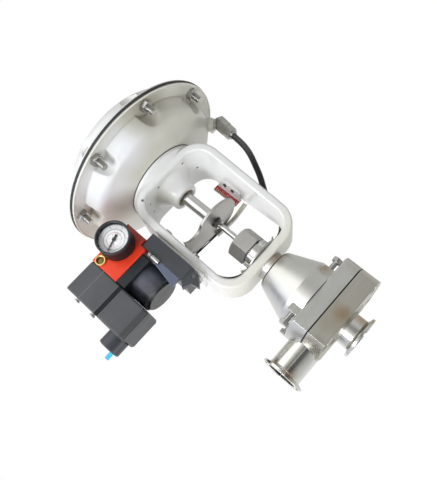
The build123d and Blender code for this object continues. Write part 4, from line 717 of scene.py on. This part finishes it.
# feedback cover: the bright sleeve of its catch, with a groove near its top drawn as a dark ring of painted
# shade
put_on(rod((-85.4, -41.6, 221.0), 2.7, 17.0, 0.6), "cover_sleeve", bolt_steel)
put_on(bored(rod((-85.4, -41.6, 224.5), 2.85, 1.2, 0.1), 2.6), "cover_sleeve_ring", seam_dark)

# supply port: a brass socket, its floor a darker brass as painted shade
socket = bored(rod((-126.0, -41.0, 265.4), 6.4, 3.4, 0.6, FACING_FRONT, 48), 4.3)
put_on(socket, "brass_socket", finishes["brass"], replaced=("brass_port",))
put_on(rod((-126.0, -40.0, 265.4), 4.6, 1.2, 0.1, FACING_FRONT), "brass_socket_floor", brass_shade)

# actuator: the rolled edge of the lower casing in a lighter cream, a painted highlight, and a dark bead of
# painted shade in the joint round the yoke's pad
ring(115.4, 0.9, 331.3, "casing_rolled_edge", edge_highlight_paint)
ring(52.1, 0.55, 298.9, "pad_joint_shade", seam_dark)

# converter: its gasket stands nearly flush, so the joint is one near-black band, wider than the gasket: gasket
# and painted shade of the joint
flush = block((-152.5, -17.5, 225.75), (40.2, 44.2, 7.0), 0.3)
put_on(flush, "module_gasket_band", band_plastic, replaced=("module_gasket",))

# converter: a light line under its cap, a painted highlight on the joint's edge
put_on(block((-152.5, -17.5, 254.0), (41.3, 45.3, 0.5), 0.1), "module_joint_line", edge_light)

# yoke washer: its two tabs, bent up clear of the yoke's floor
tab = block((23.6, 0, 145.2), (9.6, 9.0, 1.8), 0.3, (0, -0.55, 0))
put_on(joined([tab, again(tab, Matrix.Rotation(math.pi, 4, "Z"))]), "yoke_washer_tabs", fitting_steel)

# range spring: a coil wound between the seat and the plate, drawn at a single height, though on the valve its
# coils close up as the stem lifts
SPRING_WIRE = 3.2 * MM
SPRING_TURNS = 5
spring_low, spring_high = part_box("range_spring")
coil = wound(spring_low[2], spring_high[2], spring_high[0], SPRING_WIRE, SPRING_TURNS)
put_on(coil, "range_spring_coil", finishes["spring_steel"], replaced=("range_spring",))
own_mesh(coil)


# ---------------------------------------------------------------- floor, light and camera
def stage_plane(name, size, place):
    bpy.ops.object.select_all(action="DESELECT")
    bpy.ops.mesh.primitive_plane_add(size=size, location=place)
    plane = bpy.context.object
    plane.name = name
    return plane


def seen_as_backdrop(tree):
    """1 for rays that show the backdrop: from the camera, off gloss and through glass."""
    rays = tree.nodes.new("ShaderNodeLightPath")
    seen = rays.outputs["Is Camera Ray"]
    for kind in ("Is Glossy Ray", "Is Transmission Ray"):
        either = tree.nodes.new("ShaderNodeMath")
        either.operation = "MAXIMUM"
        tree.links.new(seen, either.inputs[0])
        tree.links.new(rays.outputs[kind], either.inputs[1])
        seen = either.outputs[0]
    return seen


# The floor is white paper that keeps the shadow; a dark patch low in front is painted into what gloss sees of
# it, a painted reflection.
FLOOR_GLOW = 0.62
FLOOR_DIMMED = 0.57
floor = stage_plane("floor", 12.0, (0, 0, -0.6))
paper = Finish("floor paper", 0.9)
in_gloss = paper.add("ShaderNodeLightPath").outputs["Is Glossy Ray"]
shaded = paper.reckon("MULTIPLY", paper.spot((0.35, -1.9, 0.0), 2.4, 0.6), in_gloss)
plain = paper.mix(paper.cloud(3.0), (0.86, 0.86, 0.86), (0.90, 0.90, 0.90))
paper.colour(paper.mix(shaded, plain, (0.12, 0.12, 0.13)))
paper.shader.inputs["Emission Color"].default_value = (1.0, 1.0, 1.0, 1.0)
kept = paper.reckon("SUBTRACT", FLOOR_GLOW, paper.reckon("MULTIPLY", shaded, FLOOR_DIMMED))
glow = paper.reckon("MULTIPLY", seen_as_backdrop(paper.tree), kept)
paper.feed(paper.shader.inputs["Emission Strength"], glow)
floor.data.materials.append(paper.material)

# The room: white all round, a broad bright window above on the left, and a dim corner low in front.
ROOM_IN_GLOSS = 0.75
ROOM_LIGHT = 0.42
WINDOW = Vector((-0.40, -0.62, 0.68)).normalized()
CORNER = Vector((0.10, -0.95, -0.30)).normalized()
BEHIND = Vector((-0.32, 0.88, 0.34)).normalized()
LEFT = Vector((-0.90, 0.05, 0.40)).normalized()
world = bpy.data.worlds.new("studio")
bpy.context.scene.world = world
world.use_nodes = True
sky = world.node_tree
background = sky.nodes["Background"]
facing = sky.nodes.new("ShaderNodeTexCoord").outputs["Generated"]


def sky_patch(direction, edge, core, value):
    """Value inside a round patch of the sky, and 0 outside it."""
    along = sky.nodes.new("ShaderNodeVectorMath")
    along.operation = "DOT_PRODUCT"
    sky.links.new(facing, along.inputs[0])
    along.inputs[1].default_value = direction
    fade = sky.nodes.new("ShaderNodeMapRange")
    fade.interpolation_type = "SMOOTHSTEP"
    sky.links.new(along.outputs["Value"], fade.inputs["Value"])
    fade.inputs["From Min"].default_value = edge
    fade.inputs["From Max"].default_value = core
    fade.inputs["To Max"].default_value = value
    return fade.outputs["Result"]


def sky_math(how, first, second):
    node = sky.nodes.new("ShaderNodeMath")
    node.operation = how
    for socket, value in zip(node.inputs, (first, second)):
        if isinstance(value, bpy.types.NodeSocket):
            sky.links.new(value, socket)
        else:
            socket.default_value = value
    return node.outputs[0]


reflected = sky_math("ADD", ROOM_IN_GLOSS, sky_patch(WINDOW, 0.74, 0.84, 1.3))
reflected = sky_math("SUBTRACT", reflected, sky_patch(CORNER, 0.84, 0.97, 0.45))
reflected = sky_math("ADD", reflected, sky_patch(BEHIND, 0.70, 0.92, 0.45))
reflected = sky_math("ADD", reflected, sky_patch(LEFT, 0.80, 0.90, 0.2))
rays = sky.nodes.new("ShaderNodeLightPath")
white = sky_math("MAXIMUM", rays.outputs["Is Camera Ray"], rays.outputs["Is Transmission Ray"])
gloss = rays.outputs["Is Glossy Ray"]
level = sky_math("ADD", sky_math("MULTIPLY", gloss, reflected), white)
rest = sky_math("SUBTRACT", 1.0, sky_math("MAXIMUM", white, gloss))
level = sky_math("ADD", level, sky_math("MULTIPLY", rest, ROOM_LIGHT))
sky.links.new(level, background.inputs["Strength"])
tint = sky.nodes.new("ShaderNodeMix")
tint.data_type = "RGBA"
sky.links.new(sky_math("MULTIPLY", gloss, sky_patch(LEFT, 0.70, 0.85, 1.0)), tint.inputs[0])
tint.inputs[6].default_value = (1.0, 1.0, 1.0, 1.0)
tint.inputs[7].default_value = (0.95, 0.97, 1.10, 1.0)
sky.links.new(tint.outputs[2], background.inputs["Color"])


def soft_lamp(name, place, aim, size, watts, mirrored=True):
    """A square lamp that the camera doesn't see, and that gloss sees only if mirrored."""
    data = bpy.data.lights.new(name, "AREA")
    data.size = size
    data.energy = watts
    lamp = bpy.data.objects.new(name, data)
    bpy.context.scene.collection.objects.link(lamp)
    lamp.location = place
    lamp.rotation_euler = (Vector(aim) - Vector(place)).to_track_quat("-Z", "Y").to_euler()
    lamp.visible_camera = False
    lamp.visible_glossy = mirrored
    return lamp


middle = Vector((0.0, 0.0, 0.2))
KEY = Vector((-0.75, -0.60, -0.10)).normalized()
key = soft_lamp("key", middle + KEY * 1.4, middle, 0.5, 12)
key.data.color = (0.95, 0.98, 1.05)
soft_lamp("window", middle + WINDOW * 1.6, middle, 0.9, 4, mirrored=False)
soft_lamp("low", (-0.32, -0.12, -0.50), (-0.03, -0.02, 0.32), 0.34, 0.9)

# The camera, close and low in front, is rolled so that the stem points up to the left.
EYE = Vector((-0.1389, -0.6158, -0.0169))
RIGHT = Vector((0.670, 0.117, -0.733))
DOWN = Vector((-0.719, 0.351, -0.601))
camera_data = bpy.data.cameras.new("camera")
camera = bpy.data.objects.new("camera", camera_data)
bpy.context.scene.collection.objects.link(camera)
ahead = RIGHT.cross(DOWN).normalized()
across = RIGHT.normalized()
down = ahead.cross(across)
camera.matrix_world = Matrix.Translation(EYE) @ Matrix((across, -down, -ahead)).transposed().to_4x4()
camera_data.sensor_width = 36.0
camera_data.lens = 42.25
camera_data.clip_start = 0.01
camera_data.clip_end = 50.0
bpy.context.scene.camera = camera
bpy.context.scene.view_settings.view_transform = "Standard"
